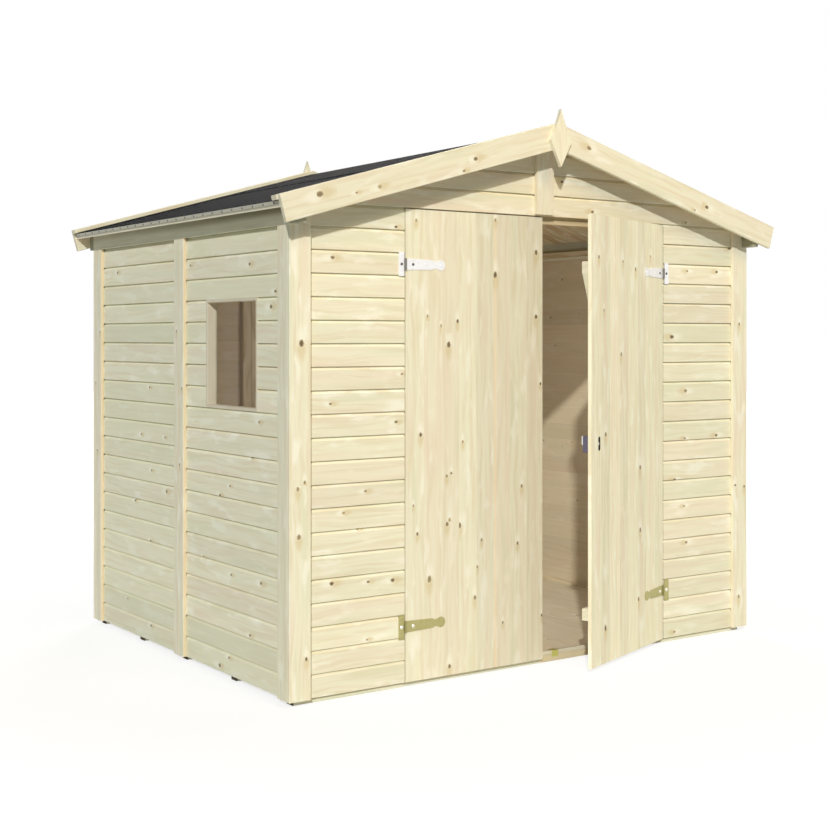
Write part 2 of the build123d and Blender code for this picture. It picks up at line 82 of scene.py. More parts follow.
class Value:
    """A socket as a value in Python: an operator on it adds the Math node that works it out."""

    def __init__(self, tree, socket=None):
        self.tree = tree
        self.socket = socket

    def node(self, kind, settings={}, inputs={}, output=0):
        """Adds any node: its settings first, then the values or links of its sockets."""
        made = self.tree.nodes.new("ShaderNode" + kind)
        for name, value in settings.items():
            setattr(made, name, value)
        for key, value in inputs.items():
            socket = made.inputs[key]
            if isinstance(value, Value):
                self.tree.links.new(value.socket, socket)
            else:
                socket.default_value = (*value, 1) if socket.type == "RGBA" else value
        return Value(self.tree, made.outputs[output]) if len(made.outputs) else None

    def math(self, operation, *values):
        return self.node("Math", {"operation": operation}, dict(enumerate(values)))

    def __add__(self, other):
        return self.math("ADD", self, other)

    def __sub__(self, other):
        return self.math("SUBTRACT", self, other)

    def __rsub__(self, other):
        return self.math("SUBTRACT", other, self)

    def __mul__(self, other):
        return self.math("MULTIPLY", self, other)

    def __truediv__(self, other):
        return self.math("DIVIDE", self, other)

    def __pow__(self, other):
        return self.math("POWER", self, other)

    def __abs__(self):
        return self.math("ABSOLUTE", self)

    __radd__ = __add__
    __rmul__ = __mul__

    def ramp(self, low, high, smooth=True):
        """0 at low, 1 at high and clamped outside; low may be the larger."""
        kind = "SMOOTHSTEP" if smooth else "LINEAR"
        limits = {"Value": self, "From Min": low, "From Max": high}
        return self.node("MapRange", {"interpolation_type": kind}, limits)

    def mix(self, first, second):
        """The first colour where this value is 0, the second where it is 1."""
        return self.node("Mix", {"data_type": "RGBA"}, {0: self, 6: first, 7: second}, 2)

    def tinted(self, tint, where, share=1.0):
        """This colour, with a share of the tint where the other value is 1."""
        return (where * share).mix(self, tint)

    def vector_math(self, operation, inputs={}, output=0):
        return self.node("VectorMath", {"operation": operation}, {0: self, **inputs}, output)

    def parts(self):
        """The three parts of this vector."""
        return [self.node("SeparateXYZ", inputs={0: self}, output=n) for n in range(3)]

    def place(self):
        """The place in the shed's own coordinates."""
        return self.node("TexCoord", output="Object")

    def cloud(self, scale, detail=2.0):
        """Noise at this place, which changes about scale times in a metre."""
        return self.node("TexNoise", inputs={"Vector": self, "Scale": scale, "Detail": detail})

    def noise(self, x, y, z=0.0, detail=2.0):
        """Noise at a point given by its three numbers, each times its changes in a metre."""
        return self.node("CombineXYZ", inputs={0: x, 1: y, 2: z}).cloud(1.0, detail)


def new_material(name):
    """A material with an empty tree, as a value that nodes are added from."""
    material = bpy.data.materials.new(name)
    material.use_nodes = True
    material.node_tree.nodes.clear()
    return material, Value(material.node_tree)


def seen_directly(start):
    """1 for the rays that show the surround: camera, glossy and transmission rays."""
    rays = [start.node("LightPath", output=name) for name in
            ("Is Camera Ray", "Is Glossy Ray", "Is Transmission Ray")]
    return (rays[0] + rays[1] + rays[2]).ramp(0, 1, smooth=False)


surround = bpy.data.worlds.new("surround")
bpy.context.scene.world = surround
surround.use_nodes = True
surround.node_tree.nodes.clear()
start = Value(surround.node_tree)
seen = seen_directly(start)
strength = SKY_STRENGTH + seen * (1 - SKY_STRENGTH)
light = start.node("Background", inputs={"Color": seen.mix(SKY_COLOUR, WHITE), "Strength": strength})
start.node("OutputWorld", inputs={"Surface": light})

material, start = new_material("pale_floor")
far = start.place().vector_math("LENGTH", output=1).ramp(*FLOOR_FADE)
glow = (far + (1 - far) * FLOOR_GLOW) * seen_directly(start)
matt = start.node("BsdfDiffuse", inputs={"Color": FLOOR_COLOUR})
white = start.node("Emission", inputs={"Color": WHITE, "Strength": FLOOR_WHITE})
surface = start.node("MixShader", inputs={0: glow, 1: matt, 2: white})
start.node("OutputMaterial", inputs={"Surface": surface})

# The floor is one round face: its rim is radius * (cos t, sin t), t going once round.
turn = np.linspace(0, 2 * math.pi, FLOOR_SIDES, endpoint=False)
rim = np.column_stack([np.cos(turn), np.sin(turn), np.zeros(FLOOR_SIDES)]) * FLOOR_RADIUS
rim[:, 2] = -FLOOR_DROP
mesh = bpy.data.meshes.new("floor")
mesh.from_pydata(rim, [], [tuple(range(FLOOR_SIDES))])
mesh.materials.append(material)
floor = bpy.data.objects.new("floor", mesh)
bpy.context.scene.collection.objects.link(floor)

# A low lamp from the camera's left stands for the sun, a broad warm one in front lifts the
# shadows, and a broad one behind lights the far walls. A dim round one inside stands for the
# light that goes back and forth in there.
ORIGIN = (0, 0, 0)
STRAIGHT_DOWN = (0, 0, -1)


def hang_lamp(name, kind, power, colour, place=ORIGIN, aim=STRAIGHT_DOWN, **settings):
    """Adds a lamp, which shines along its own -Z, turned from its place towards its aim."""
    data = bpy.data.lights.new(name, kind)
    for setting, value in {"energy": power, "color": colour, **settings}.items():
        setattr(data, setting, value)
    lamp = bpy.data.objects.new(name, data)
    lamp.location = place
    lamp.rotation_euler = (mathutils.Vector(aim) - lamp.location).to_track_quat("-Z", "Y").to_euler()
    bpy.context.scene.collection.objects.link(lamp)
    return lamp


hang_lamp("sun", "SUN", power=2.30, colour=(1.0, 1.0, 0.98), aim=(1.02, 1.24, -0.84),
          angle=math.radians(1.5))
hang_lamp("front_lamp", "AREA", power=145, colour=(1.0, 0.78, 0.46), place=(-0.2, -5.2, 6.0),
          aim=(0.0, -0.9, 1.0), size=2.5)
hang_lamp("back_lamp", "AREA", power=230, colour=(1.0, 0.95, 0.89), place=(3.4, 5.6, 4.6),
          aim=(0.3, 0.5, 0.9), size=3.0)
inner = hang_lamp("inner_lamp", "POINT", power=13, colour=(0.95, 0.95, 1.0), place=(0.0, -0.1, 1.1),
                  shadow_soft_size=0.35)
for hidden in ("visible_camera", "visible_glossy", "visible_transmission"):
    setattr(inner, hidden, False)

# Five sawn bearers lie from left to right under everything. They are of the same spruce,
# rougher than the rest. Their dark end grain is darkened further as painted shade under the
# walls, and a painted shade line runs along their tops under the walls. The line stops in the
# open half of the doorway, where light falls, and there the bearers are browner.
SPRUCE_EARLY = (0.88, 0.845, 0.665)
SPRUCE_GREEN = (0.76, 0.765, 0.56)
BEARER_END_GRAIN_AND_SHADE = (0.085, 0.070, 0.048)
BEARER_END_PLACE = (1.180, 1.187)  # from the shed's middle
BEARER_PAINTED_SHADE = (0.085, 0.065, 0.042)
BEARER_SHADE_RISE = (0.0125, 0.0160)
BEARER_OPEN_HALF_BROWN = (0.58, 0.48, 0.29)
OPEN_HALF_LEFT = (0.0, 0.01)
OPEN_HALF_RIGHT = (0.70, 0.69)


def finish_surface(start, colour, bump, rough, bump_height=0.0002, metallic=0.0, specular=0.5, alpha=1.0):
    """Ends a material in one shader. Its bump is noise, which also spreads the roughness."""
    if isinstance(rough, tuple):
        rough = bump * (rough[1] - rough[0]) + rough[0]
    normal = start.node("Bump", inputs={"Height": bump, "Distance": bump_height})
    shader = start.node("BsdfPrincipled", inputs={
        "Base Color": colour, "Metallic": metallic, "Roughness": rough, "Alpha": alpha, "Normal": normal,
        "Specular IOR Level": specular})
    start.node("OutputMaterial", inputs={"Surface": shader})


def finish_node(node, material):
    """Gives a CAD piece its finish."""
    slots = frame["nodes"][node].data.materials
    slots.clear()
    slots.append(material)


def bearer_wood():
    """Pale sawn spruce with dark end grain deepened by painted shade, and a painted shade line under the
    walls.
    """
    material, start = new_material("bearer_wood")
    x, y, z = start.place().parts()
    streak = start.noise(x * 3, y * 160, z * 160)
    pale = streak.ramp(0.35, 0.75).mix(SPRUCE_EARLY, SPRUCE_GREEN)
    # Painted shade: the ends under the walls are darker than their end grain alone.
    colour = abs(x).ramp(*BEARER_END_PLACE).mix(pale, BEARER_END_GRAIN_AND_SHADE)
    open_half = x.ramp(*OPEN_HALF_LEFT) * x.ramp(*OPEN_HALF_RIGHT)
    # Painted shade: a dark line high on the bearers under the walls, left out in the open half of the
    # doorway, where light falls.
    colour = colour.tinted(BEARER_PAINTED_SHADE, (1 - open_half) * z.ramp(*BEARER_SHADE_RISE), share=0.8)
    colour = colour.tinted(BEARER_OPEN_HALF_BROWN, open_half, share=0.8)
    finish_surface(start, colour, streak, rough=(0.72, 0.82), bump_height=0.0006, specular=0.2)
    return material


finish_node("floor_bearers", bearer_wood())

# The deck's boards run from front to back between the wall frames, and a narrow slip closes
# their ends in the doorway. All boards are machined spruce with lightly broken edges.
SPRUCE_LATE = (0.75, 0.655, 0.445)
SPRUCE_PINK = (0.84, 0.73, 0.57)
SPRUCE_BLOND = (0.95, 0.93, 0.79)
KNOT_HEART = (0.15, 0.115, 0.075)
KNOT_RIM = (0.33, 0.245, 0.13)
KNOT_PALE = (0.56, 0.45, 0.26)
KNOT_HALO = (0.74, 0.63, 0.39)
KNOT_GRIT = 150  # changes in a metre along a knot's wavering edge
KNOT_STRETCH = 0.5  # a knot is longer along the grain
KNOT_WOBBLE = 0.9
HALO_STRETCH = 0.10  # and its halo much longer
HALO_WOBBLE = 1.5
KNOT_HALO_REACH = (3.6, 1.3)  # in the knot's radii
KNOT_RIM_REACH = (1.4, 0.9)
KNOT_HEART_REACH = (1.0, 0.4)
RESIN = (0.86, 0.63, 0.36)
RING_SLANT = 0.45  # how far the growth rings lean through a board's thickness
RING_WANDER = 0.050
WANDERING = (3.4, 10, 1.0)  # changes in a metre along and across the grain, and a place in the noise
FINE_LINES = (9, 380, 3.0)
BROAD_BANDS = (2.6, 58, 7.0)
BROAD_TINTS = (1.8, 17, 11.0)
PALE_CLOUDS = (6, 21, 17.0)
LATE_BANDS = 0.58  # share of late wood in the broad bands
LATE_LINES = 0.12  # and in the fine lines
DECK_BOARDS = 26
DECK_SINK = 0.0003  # under the keep's flush leg
DECK_ARRIS = 0.0003
DECK_SPREAD = 0.012  # of the boards' lightness
DECK_TONE = (-0.24, 0.2, 0.36)  # a tone is lightness, warmth and resin
SLIP_TONE = (-0.24, 0.3)
SLIP_TOP = (-0.10, 0.2, 0.36)
BACK_TONE = (-0.30, 0.3, 0.46)  # the side to the inside is left rough and is browner
BACK_FADED = 0.55  # the knots are nearly lost in the rough side
HALF_DOORWAY = 0.698
ARRIS = 0.0012
KNOT_SPACING = 0.85  # metres of board to a knot, on average
KNOT_CLEAR = 0.03  # of a board's ends
KNOT_APART = 0.05
KNOT_ACROSS = (0.1, 0.9)  # shares of a board's width
SHORT_BOARD = 0.04  # knots lie up to here on even the shortest one
KNOT_RADII = (0.0025, 0.0078)
KNOT_SMALLNESS = 1.8  # small ones are the most common
KNOT_SIZE = 1.2  # the whole dark spot to the radius that is given
DEAD_KNOTS = 0.45  # share of fully dark ones
LIVE_DARKNESS = 0.5  # the most in the rest
NO_KNOT = [(9.0, 9.0, 0.004, 0.0)]  # one far off, for a board without any
END_SHADE = 0.10  # end grain is darker
LIGHTNESS_SPREAD = 0.03
WARMTH_SPREAD = 0.4
GRAIN_LENGTH = 40  # of the wood that the boards are cut from
ROUGH_SPREAD = 0.08
chance = np.random.default_rng(20)
X, Y, Z = np.eye(3)


def board_grain(start):
    """Grain of a laid board, from its maps in metres: u along it, g across its growth rings.

    Near a knot the rings part and close again behind it, as a stream does round a post:
    ring = g - dv / (q + 0.8), with q the squared distance from the knot's middle in radii."""
    u, g, _ = start.node("UVMap", {"uv_map": "grain"}).parts()
    du, dv, _ = start.node("UVMap", {"uv_map": "knot"}).parts()
    tone = start.node("Attribute", {"attribute_name": "tone"}, output=1).parts()
    radius, darkness, faded = start.node("Attribute", {"attribute_name": "knot_size"}, output=1).parts()
    wobble = start.noise(du * KNOT_GRIT, dv * KNOT_GRIT, radius * 1000, detail=1) - 0.5
    q = (du * du * KNOT_STRETCH + dv * dv) / (radius * radius)
    distance = q ** 0.5 + wobble * KNOT_WOBBLE
    curl = (du * du * HALO_STRETCH + dv * dv) ** 0.5 / radius + wobble * HALO_WOBBLE
    side = (du / radius + wobble * 6).ramp(-3, 3)
    return u, g - dv / (q + 0.8), distance + faded, curl + faded * 3, side, darkness, tone


def member_grain(start, axis):
    """Grain of a plain sawn member from its place in the shed, along the axis X, Y or Z."""
    x, y, z = start.place().parts()
    along, across, through = {"X": (x, z, y), "Y": (y, z, x), "Z": (z, y, x)}[axis]
    return along, across + through * RING_SLANT


def streaks(start, kind, along, across, detail=2.0):
    """Noise drawn out along the grain, of one of the kinds above."""
    return start.noise(along * kind[0], across * kind[1], kind[2], detail)


def spruce(name, early, late, axis=None, roughness=0.62, contrast=1.0):
    """Planed spruce: pale early wood, fine dark late wood, broad tints, and knots on boards.

    The rings wander across the board: wave = ring + reach * (noise - 0.5)."""
    material, start = new_material(name)
    if axis:
        u, straight = member_grain(start, axis)
    else:
        u, straight, distance, curl, side, darkness, (lightness, warmth, resin) = board_grain(start)
    ring = straight + (streaks(start, WANDERING, u, straight, detail=1) - 0.5) * RING_WANDER
    fine = streaks(start, FINE_LINES, u, ring)
    broad = streaks(start, BROAD_BANDS, u, ring)
    tint = streaks(start, BROAD_TINTS, u, ring)
    cloud = streaks(start, PALE_CLOUDS, u, straight, detail=3)
    bands = broad.ramp(0.42, 0.70) * (LATE_BANDS * contrast)
    late_wood = bands + fine.ramp(0.45, 0.80) * (LATE_LINES * contrast)
    colour = late_wood.mix(early, late)
    if axis:
        colour = colour.tinted(late, tint.ramp(0.50, 0.80), share=0.35)
    else:
        colour = colour.tinted(SPRUCE_PINK, tint.ramp(0.50, 0.72), share=0.65)
        colour = colour.tinted(SPRUCE_GREEN, tint.ramp(0.48, 0.28), share=0.65)
        colour = colour.tinted(SPRUCE_BLOND, cloud.ramp(0.53, 0.70), share=0.85)
        colour = colour.tinted(SPRUCE_PINK, warmth.ramp(0, 1, smooth=False), share=0.6)
        colour = colour.tinted(SPRUCE_GREEN, warmth.ramp(0, -1, smooth=False), share=0.6)
        colour = colour.tinted(RESIN, resin)
        halo = side.mix(KNOT_HALO, SPRUCE_BLOND)
        colour = colour.tinted(halo, curl.ramp(*KNOT_HALO_REACH), share=0.75)
        knot_rim = (darkness * 0.8 + 0.2).mix(KNOT_PALE, KNOT_RIM)
        colour = colour.tinted(knot_rim, distance.ramp(*KNOT_RIM_REACH))
        colour = colour.tinted(darkness.mix(KNOT_PALE, KNOT_HEART), distance.ramp(*KNOT_HEART_REACH))
        colour = colour.vector_math("SCALE", {"Scale": lightness + 1})
    rough = (1 - late_wood) * ROUGH_SPREAD + (roughness - ROUGH_SPREAD / 2)
    finish_surface(start, colour, fine * 0.4 + broad * 0.6, rough, bump_height=0.0003, specular=0.22)
    return material


def rectangle(width, depth, arris=ARRIS, stripes=()):
    """A board's section with broken corners, as (across, out) points from its lower back one.

    Stripes are places across its face that part it into sides of their own."""
    a = arris
    return np.array([(a, 0), (width - a, 0), (width, a), (width, depth - a), (width - a, depth),
                     *[(s, depth) for s in stripes], (a, depth), (0, depth - a), (0, a)])


def some_knots(length, width):
    """Knots at random places along a board: (along, across, radius, darkness) each."""
    count = chance.poisson(length / KNOT_SPACING)
    places = np.sort(chance.uniform(KNOT_CLEAR, max(length - KNOT_CLEAR, SHORT_BOARD), count))
    places = [p for n, p in enumerate(places) if n == 0 or p - places[n - 1] > KNOT_APART]
    knots = []
    for place in places:
        radius = KNOT_RADII[0] + np.ptp(KNOT_RADII) * chance.random() ** KNOT_SMALLNESS
        darkness = 1.0 if chance.random() < DEAD_KNOTS else chance.uniform(0, LIVE_DARKNESS)
        knots.append((place, chance.uniform(*KNOT_ACROSS) * width, radius, darkness))
    return knots


def plank(start, end, across, out, section, knots=None, tone=None, foot=(), head=(), marks={}):
    """A board of one section between two points, as arrays for one mesh.

    The section's point (v, w) travels the line start + v * across + w * out + u * along. Each
    line begins at the furthest of the foot's planes and ends at the nearest of the head's, a
    plane being (a point, its normal). Between two knots the board is cut in two, because every
    stretch carries the place of its own knot. Its maps are linear in the place: u along the
    grain, and v + slant * w across the growth rings. Marks give single sides of the section a
    tone of their own."""
    start, end = np.array(start, float), np.array(end, float)
    length = np.linalg.norm(end - start)
    along = (end - start) / length
    count = len(section)
    lines = start + section[:, :1] * across + section[:, 1:] * out
    low, high = np.zeros(count), np.full(count, length)
    for point, normal in foot:
        low = np.maximum(low, (point - lines) @ normal / (along @ normal))
    for point, normal in head:
        high = np.minimum(high, (point - lines) @ normal / (along @ normal))
    if knots is None:
        knots = some_knots(length, np.ptp(section[:, 0]))
    knots = sorted(k for k in knots if low.max() < k[0] < high.min()) or NO_KNOT
    splits = [(a[0] + b[0]) / 2 for a, b in zip(knots, knots[1:])]
    u = np.vstack([low, *[np.full(count, s) for s in splits], high])
    points = lines + u[:, :, None] * along
    runs = len(u) - 1
    corner = np.arange(count)
    after = (corner + 1) % count
    quads = [np.column_stack([corner, after, after + count, corner + count]) + s * count for s in range(runs)]
    loops = [*np.vstack(quads), corner[::-1], corner + runs * count]
    owner = np.concatenate([np.repeat(np.arange(runs), count), [0, runs - 1]])
    turn = np.sum(section[:, 0] * section[after, 1] - section[after, 0] * section[:, 1])
    if turn * (np.cross(across, out) @ along) < 0:
        loops = [loop[::-1] for loop in loops]
    knots = np.array(knots) * (1, 1, KNOT_SIZE, 1)
    flat = np.concatenate(loops)
    sizes = np.array([len(loop) for loop in loops])
    knot = knots[np.repeat(owner, sizes)]
    v, w = np.tile(section.T, runs + 1)
    shift = chance.uniform(0, GRAIN_LENGTH, 2)
    if tone is None:
        tone = (chance.normal(0, LIGHTNESS_SPREAD), chance.normal(0, WARMTH_SPREAD))
    tones = np.tile([*tone, 0.0], (len(sizes), 1))
    tones[runs * count:, 0] -= END_SHADE
    sides = np.arange(runs) * count
    for side, mark in marks.items():
        tones[sides + side] += mark
    faded = np.zeros(len(sizes))
    faded[sides] = BACK_FADED
    return {
        "points": points.reshape(-1, 3),
        "loops": flat,
        "sizes": sizes,
        "grain": np.column_stack([u.ravel()[flat] + shift[0], (v + RING_SLANT * w)[flat] + shift[1]]),
        "knot": np.column_stack([u.ravel()[flat] - knot[:, 0], v[flat] - knot[:, 1]]),
        "tone": tones,
        "knot_size": np.column_stack([knots[owner, 2:], faded]),
    }


def joined(planks, key):
    """One array of all the planks, end to end."""
    return np.concatenate([p[key] for p in planks])


def lay(name, planks, replaces=(), body="shed", material=None, turned=None):
    """Joins planks into one piece that rides on a body; turned may move its points first."""
    starts = np.cumsum([0] + [len(p["points"]) for p in planks[:-1]])
    points = joined(planks, "points")
    loops = np.concatenate([p["loops"] + first for p, first in zip(planks, starts)])
    sizes = joined(planks, "sizes")
    mesh = bpy.data.meshes.new(name)
    mesh.vertices.add(len(points))
    mesh.vertices.foreach_set("co", (turned(points) if turned else points).ravel())
    mesh.loops.add(len(loops))
    mesh.loops.foreach_set("vertex_index", loops)
    mesh.polygons.add(len(sizes))
    mesh.polygons.foreach_set("loop_start", np.cumsum(sizes) - sizes)
    mesh.polygons.foreach_set("loop_total", sizes)
    mesh.update(calc_edges=True)
    mesh.shade_flat()
    for key in ("grain", "knot"):
        mesh.uv_layers.new(name=key).uv.foreach_set("vector", joined(planks, key).ravel())
    for key in ("tone", "knot_size"):
        values = mesh.attributes.new(key, "FLOAT_VECTOR", "FACE").data
        values.foreach_set("vector", joined(planks, key).ravel())
    mesh.materials.append(material or boards_wood)
    return place_piece(name, mesh, body, replaces)


def place_piece(name, mesh, body, replaces=()):
    """Makes a finished mesh a piece of the shed."""
    piece = bpy.data.objects.new(name, mesh)
    bpy.context.scene.collection.objects.link(piece)
    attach(piece, body)
    if replaces:
        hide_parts(*replaces)
    return piece


boards_wood = spruce("spruce_boards", SPRUCE_EARLY, SPRUCE_LATE)
deck_low, deck_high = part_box("floor_deck")
deck_width = (deck_high.x - deck_low.x) / DECK_BOARDS
deck_thickness = deck_high.z - deck_low.z - DECK_SINK
deck_section = rectangle(deck_width, deck_thickness, DECK_ARRIS)
y_inside = deck_high.y
deck = []
for n in range(DECK_BOARDS):
    x = deck_low.x + n * deck_width
    deck.append(plank((x, -y_inside, deck_low.z), (x, y_inside, deck_low.z), X, Z, deck_section,
                      tone=(chance.normal(0, DECK_SPREAD), 0.0), marks={4: DECK_TONE}))
slip_front = deck_low.y + DECK_SINK
deck.append(plank((-HALF_DOORWAY, slip_front, deck_low.z), (HALF_DOORWAY, slip_front, deck_low.z), Y, Z,
                  rectangle(-y_inside - slip_front, deck_thickness), knots=[], tone=SLIP_TONE,
                  marks={4: SLIP_TOP}))
lay("deck_boards", deck, ["floor_deck"])

# The wall frames are sawn studs between bottom and top rails, and the ridge beam runs from
# gable to gable. All are seen only from inside and through the window.
FRAME_EARLY = (0.64, 0.55, 0.37)
FRAME_LATE = (0.46, 0.35, 0.20)
frame_wood = {axis: spruce("spruce_frame_" + axis, FRAME_EARLY, FRAME_LATE, axis, roughness=0.72,
                           contrast=1.5) for axis in "XYZ"}
for node, axis in (("side_wall_studs", "Z"), ("end_wall_studs", "Z"), ("side_wall_rails", "Y"),
                   ("end_wall_rails", "X"), ("ridge_beam", "Y")):
    finish_node(node, frame_wood[axis])

# The walls are shiplap boards, nailed to the frames from below upwards. Each board's lower
# edge stands proud of the sloping shoulder on top of the board below it.
BOARD_COVER = 0.088
WALL_BASE = 0.020
CLADDING = 0.016
SHOULDER_HEIGHT = 0.0130
SHOULDER_DEPTH = 0.0085
GROOVE_FLAT = 0.0032
BACK_ARRIS = 0.0003
# The groove's back is painted darker, as painted shade in the recess, and the sloping shoulder a little
# lighter, as a painted highlight where it faces the light.
WALL_MARKS = {0: BACK_TONE, 3: (-0.30, 0.0, 0.0), 4: (0.07, 0.0, 0.0)}  # back, groove and shoulder
LEFT_WALL_KNOTS = (
    (-0.654, 1.077, 0.0049, 1), (-0.781, 1.478, 0.0054, 0.75), (-0.354, 0.043, 0.0052, 0.82),
    (-0.608, 1.646, 0.0047, 0.87), (-0.814, 1.535, 0.0041, 1), (0.152, 0.696, 0.0052, 0.43),
    (0.694, 1.663, 0.0041, 0.83), (-0.454, 0.421, 0.0034, 0.73), (0.332, 1.141, 0.0034, 0.7),
    (0.42, 0.929, 0.0037, 0.52), (0.31, 0.775, 0.0034, 0.63), (-0.082, 1.663, 0.0037, 0.45),
    (-0.687, 1.038, 0.0037, 0.42), (0.17, 0.929, 0.0032, 0.67), (-0.442, 0.772, 0.0032, 0.65),
    (0.583, 0.168, 0.0029, 0.17), (-0.618, 0.898, 0.0040, 0.8), (-0.356, 0.728, 0.0042, 0.75),
    (0.031, 0.617, 0.0040, 0.9), (0.492, 0.626, 0.0042, 0.9), (0.320, 0.462, 0.0040, 0.9),
    (-0.205, 0.460, 0.0034, 0.5), (-0.701, 0.423, 0.0048, 0.6), (0.316, 0.089, 0.0038, 0.8),
    (-0.612, 0.209, 0.0038, 0.9), (-0.435, 0.089, 0.0034, 0.8),
)
FRONT_LEFT_KNOTS = (
    (-1.029, 0.438, 0.005, 1), (-1.025, 1.662, 0.0049, 0.68), (-0.738, 1.035, 0.0039, 0.92),
    (-0.738, 1.79, 0.0037, 0.98), (-1.034, 1.113, 0.0034, 0.53), (-0.711, 1.22, 0.0032, 0.37),
    (-0.976, 0.7, 0.0037, 0.15), (-0.871, 0.209, 0.0029, 0.17), (-0.878, 0.776, 0.0036, 0.3),
    (-0.911, 0.634, 0.0032, 0.3), (-0.866, 0.429, 0.0034, 0.7), (-0.754, 0.424, 0.0050, 0.9),
)
FRONT_RIGHT_KNOTS = (
    (0.749, 1.365, 0.006, 1), (1.036, 1.663, 0.0043, 1), (0.835, 1.121, 0.005, 0.6),
    (0.84, 0.437, 0.0043, 0.52), (1.121, 1.771, 0.0041, 0.37), (0.765, 0.042, 0.0041, 0.3),
    (0.845, 1.662, 0.0037, 0.28), (0.826, 0.602, 0.0034, 0.15), (1.034, 0.913, 0.0046, 0.9),
    (0.767, 0.724, 0.0046, 0.9), (0.830, 0.908, 0.0034, 0.5),
)
WALL_ROWS = 20
WINDOW_ROWS = range(12, 17)
BEAM_FACE = 1.188  # the walls' boards stop here beside the eaves beams
BACK_JOINTS = (-1.204 / 3, 1.204 / 3)
FRONT_TONE = (0.0, -0.05)
FRONT_RIGHT_TONE = (-0.06, -0.05)
SIDE_TONE = (0.01, -0.40)
TONE_SPREAD = (0.025, 0.30)


def shiplap(top=None):
    """The section of a wall board, as (height, out) points from its lower back corner.

    A board cut off along its top for the ridge has no shoulder."""
    if top is not None:
        return np.array([(0, 0), (top, 0), (top, CLADDING), (ARRIS, CLADDING), (0, CLADDING - ARRIS)])
    recess = CLADDING - SHOULDER_DEPTH
    return np.array([(BACK_ARRIS, 0), (BOARD_COVER - BACK_ARRIS, 0), (BOARD_COVER, BACK_ARRIS),
                     (BOARD_COVER, recess), (BOARD_COVER - GROOVE_FLAT, recess),
                     (BOARD_COVER - SHOULDER_HEIGHT, CLADDING), (ARRIS, CLADDING),
                     (0, CLADDING - ARRIS), (0, BACK_ARRIS)])


def known_knots(known, begin, finish, low):
    """Those of the known knots, each (place along the wall, height, radius, darkness), on one board."""
    axis = int(begin[0] == finish[0])
    first, last = sorted((begin[axis], finish[axis]))
    return [(abs(place - begin[axis]), z - low, radius, darkness) for place, z, radius, darkness in known
            if first < place < last and low <= z < low + BOARD_COVER]


def wall_boards(begin, end, out, rows=range(WALL_ROWS), gap_rows=(), gap=None, known=None, tone=FRONT_TONE):
    """Rows of boards between two places (x, y) on a wall; some rows leave the window's gap."""
    planks = []
    for row in rows:
        low = WALL_BASE + row * BOARD_COVER
        for a, b in [(begin, gap[0]), (gap[1], end)] if row in gap_rows else [(begin, end)]:
            knots = known and known_knots(known, a, b, low)
            own_tone = chance.normal(tone, TONE_SPREAD)
            planks.append(plank((*a, low), (*b, low), Z, out, shiplap(), knots=knots, tone=own_tone,
                                marks=WALL_MARKS))
    return planks


window_low, window_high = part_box("window_lining")
for side, sign in (("left", -1), ("right", 1)):
    for part in ("front", "rear"):
        low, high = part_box(f"{side}_wall_{part}")
        plane = low.x if sign > 0 else high.x
        has_window = side == "left" and part == "front"
        planks = wall_boards((plane, low.y), (plane, high.y), sign * X,
                             gap_rows=WINDOW_ROWS if has_window else (),
                             gap=[(plane, window_low.y), (plane, window_high.y)],
                             known=LEFT_WALL_KNOTS if side == "left" else None, tone=SIDE_TONE)
        lay(f"{side}_{part}_boards", planks, [f"{side}_wall_{part}"])
    low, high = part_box(f"front_wall_{side}")
    inner_end, outer_end = sorted((low.x, high.x), key=abs)
    known = FRONT_LEFT_KNOTS if side == "left" else FRONT_RIGHT_KNOTS
    tone = FRONT_TONE if side == "left" else FRONT_RIGHT_TONE
    planks = []
    for end, rows in ((outer_end, range(WALL_ROWS)), (sign * BEAM_FACE, [WALL_ROWS])):
        planks += wall_boards((inner_end, high.y), (end, high.y), -Y, rows, known=known, tone=tone)
    lay(f"front_{side}_boards", planks, [f"front_wall_{side}"])

back_low, back_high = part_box("back_wall")
back_edges = [back_low.x, *BACK_JOINTS, back_high.x]
planks = []
for a, b in zip(back_edges, back_edges[1:]):
    planks += wall_boards((a, back_low.y), (b, back_low.y), Y)
    a, b = max(a, -BEAM_FACE), min(b, BEAM_FACE)
    planks += wall_boards((a, back_low.y), (b, back_low.y), Y, [WALL_ROWS])
lay("back_boards", planks, ["back_wall"])

# The gables carry the same boards on up to the roof, and each board's ends follow the slopes.
# The row under the ridge is a low strip, cut to fit.
ROOF_PITCH = math.radians(15.8)
GABLE_ROWS = 4
GABLE_BASE = 1.868
UNDER_RIDGE = 0.003  # the top strip keeps off the roof by this much
GABLE_LIGHTNESS = -0.04
GABLE_WARMING = 0.1  # from each row to the next
# The gable keeps the painted shade in the groove and the painted highlight on the shoulder, and adds resin to
# the shoulder and the face.
GABLE_MARKS = {**WALL_MARKS, 4: (0.07, 0.0, 0.26), 5: (0.0, 0.0, 0.10)}
GABLE_KNOTS = ((0.105, 2.018, 0.0046, 0.9), (0.276, 1.900, 0.0045, 0.7), (0.839, 1.881, 0.0030, 0.6))
ridge_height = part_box("ridge_beam")[1].z  # underside of the roof boards in the middle
ridge_line = ridge_height * Z
rise, run = math.sin(ROOF_PITCH), math.cos(ROOF_PITCH)
down_slope = {sign: np.array([sign * run, 0, -rise]) for sign in (-1, 1)}
off_slope = {sign: np.array([sign * rise, 0, run]) for sign in (-1, 1)}
slope_planes = {sign: (ridge_line, off_slope[sign]) for sign in (-1, 1)}


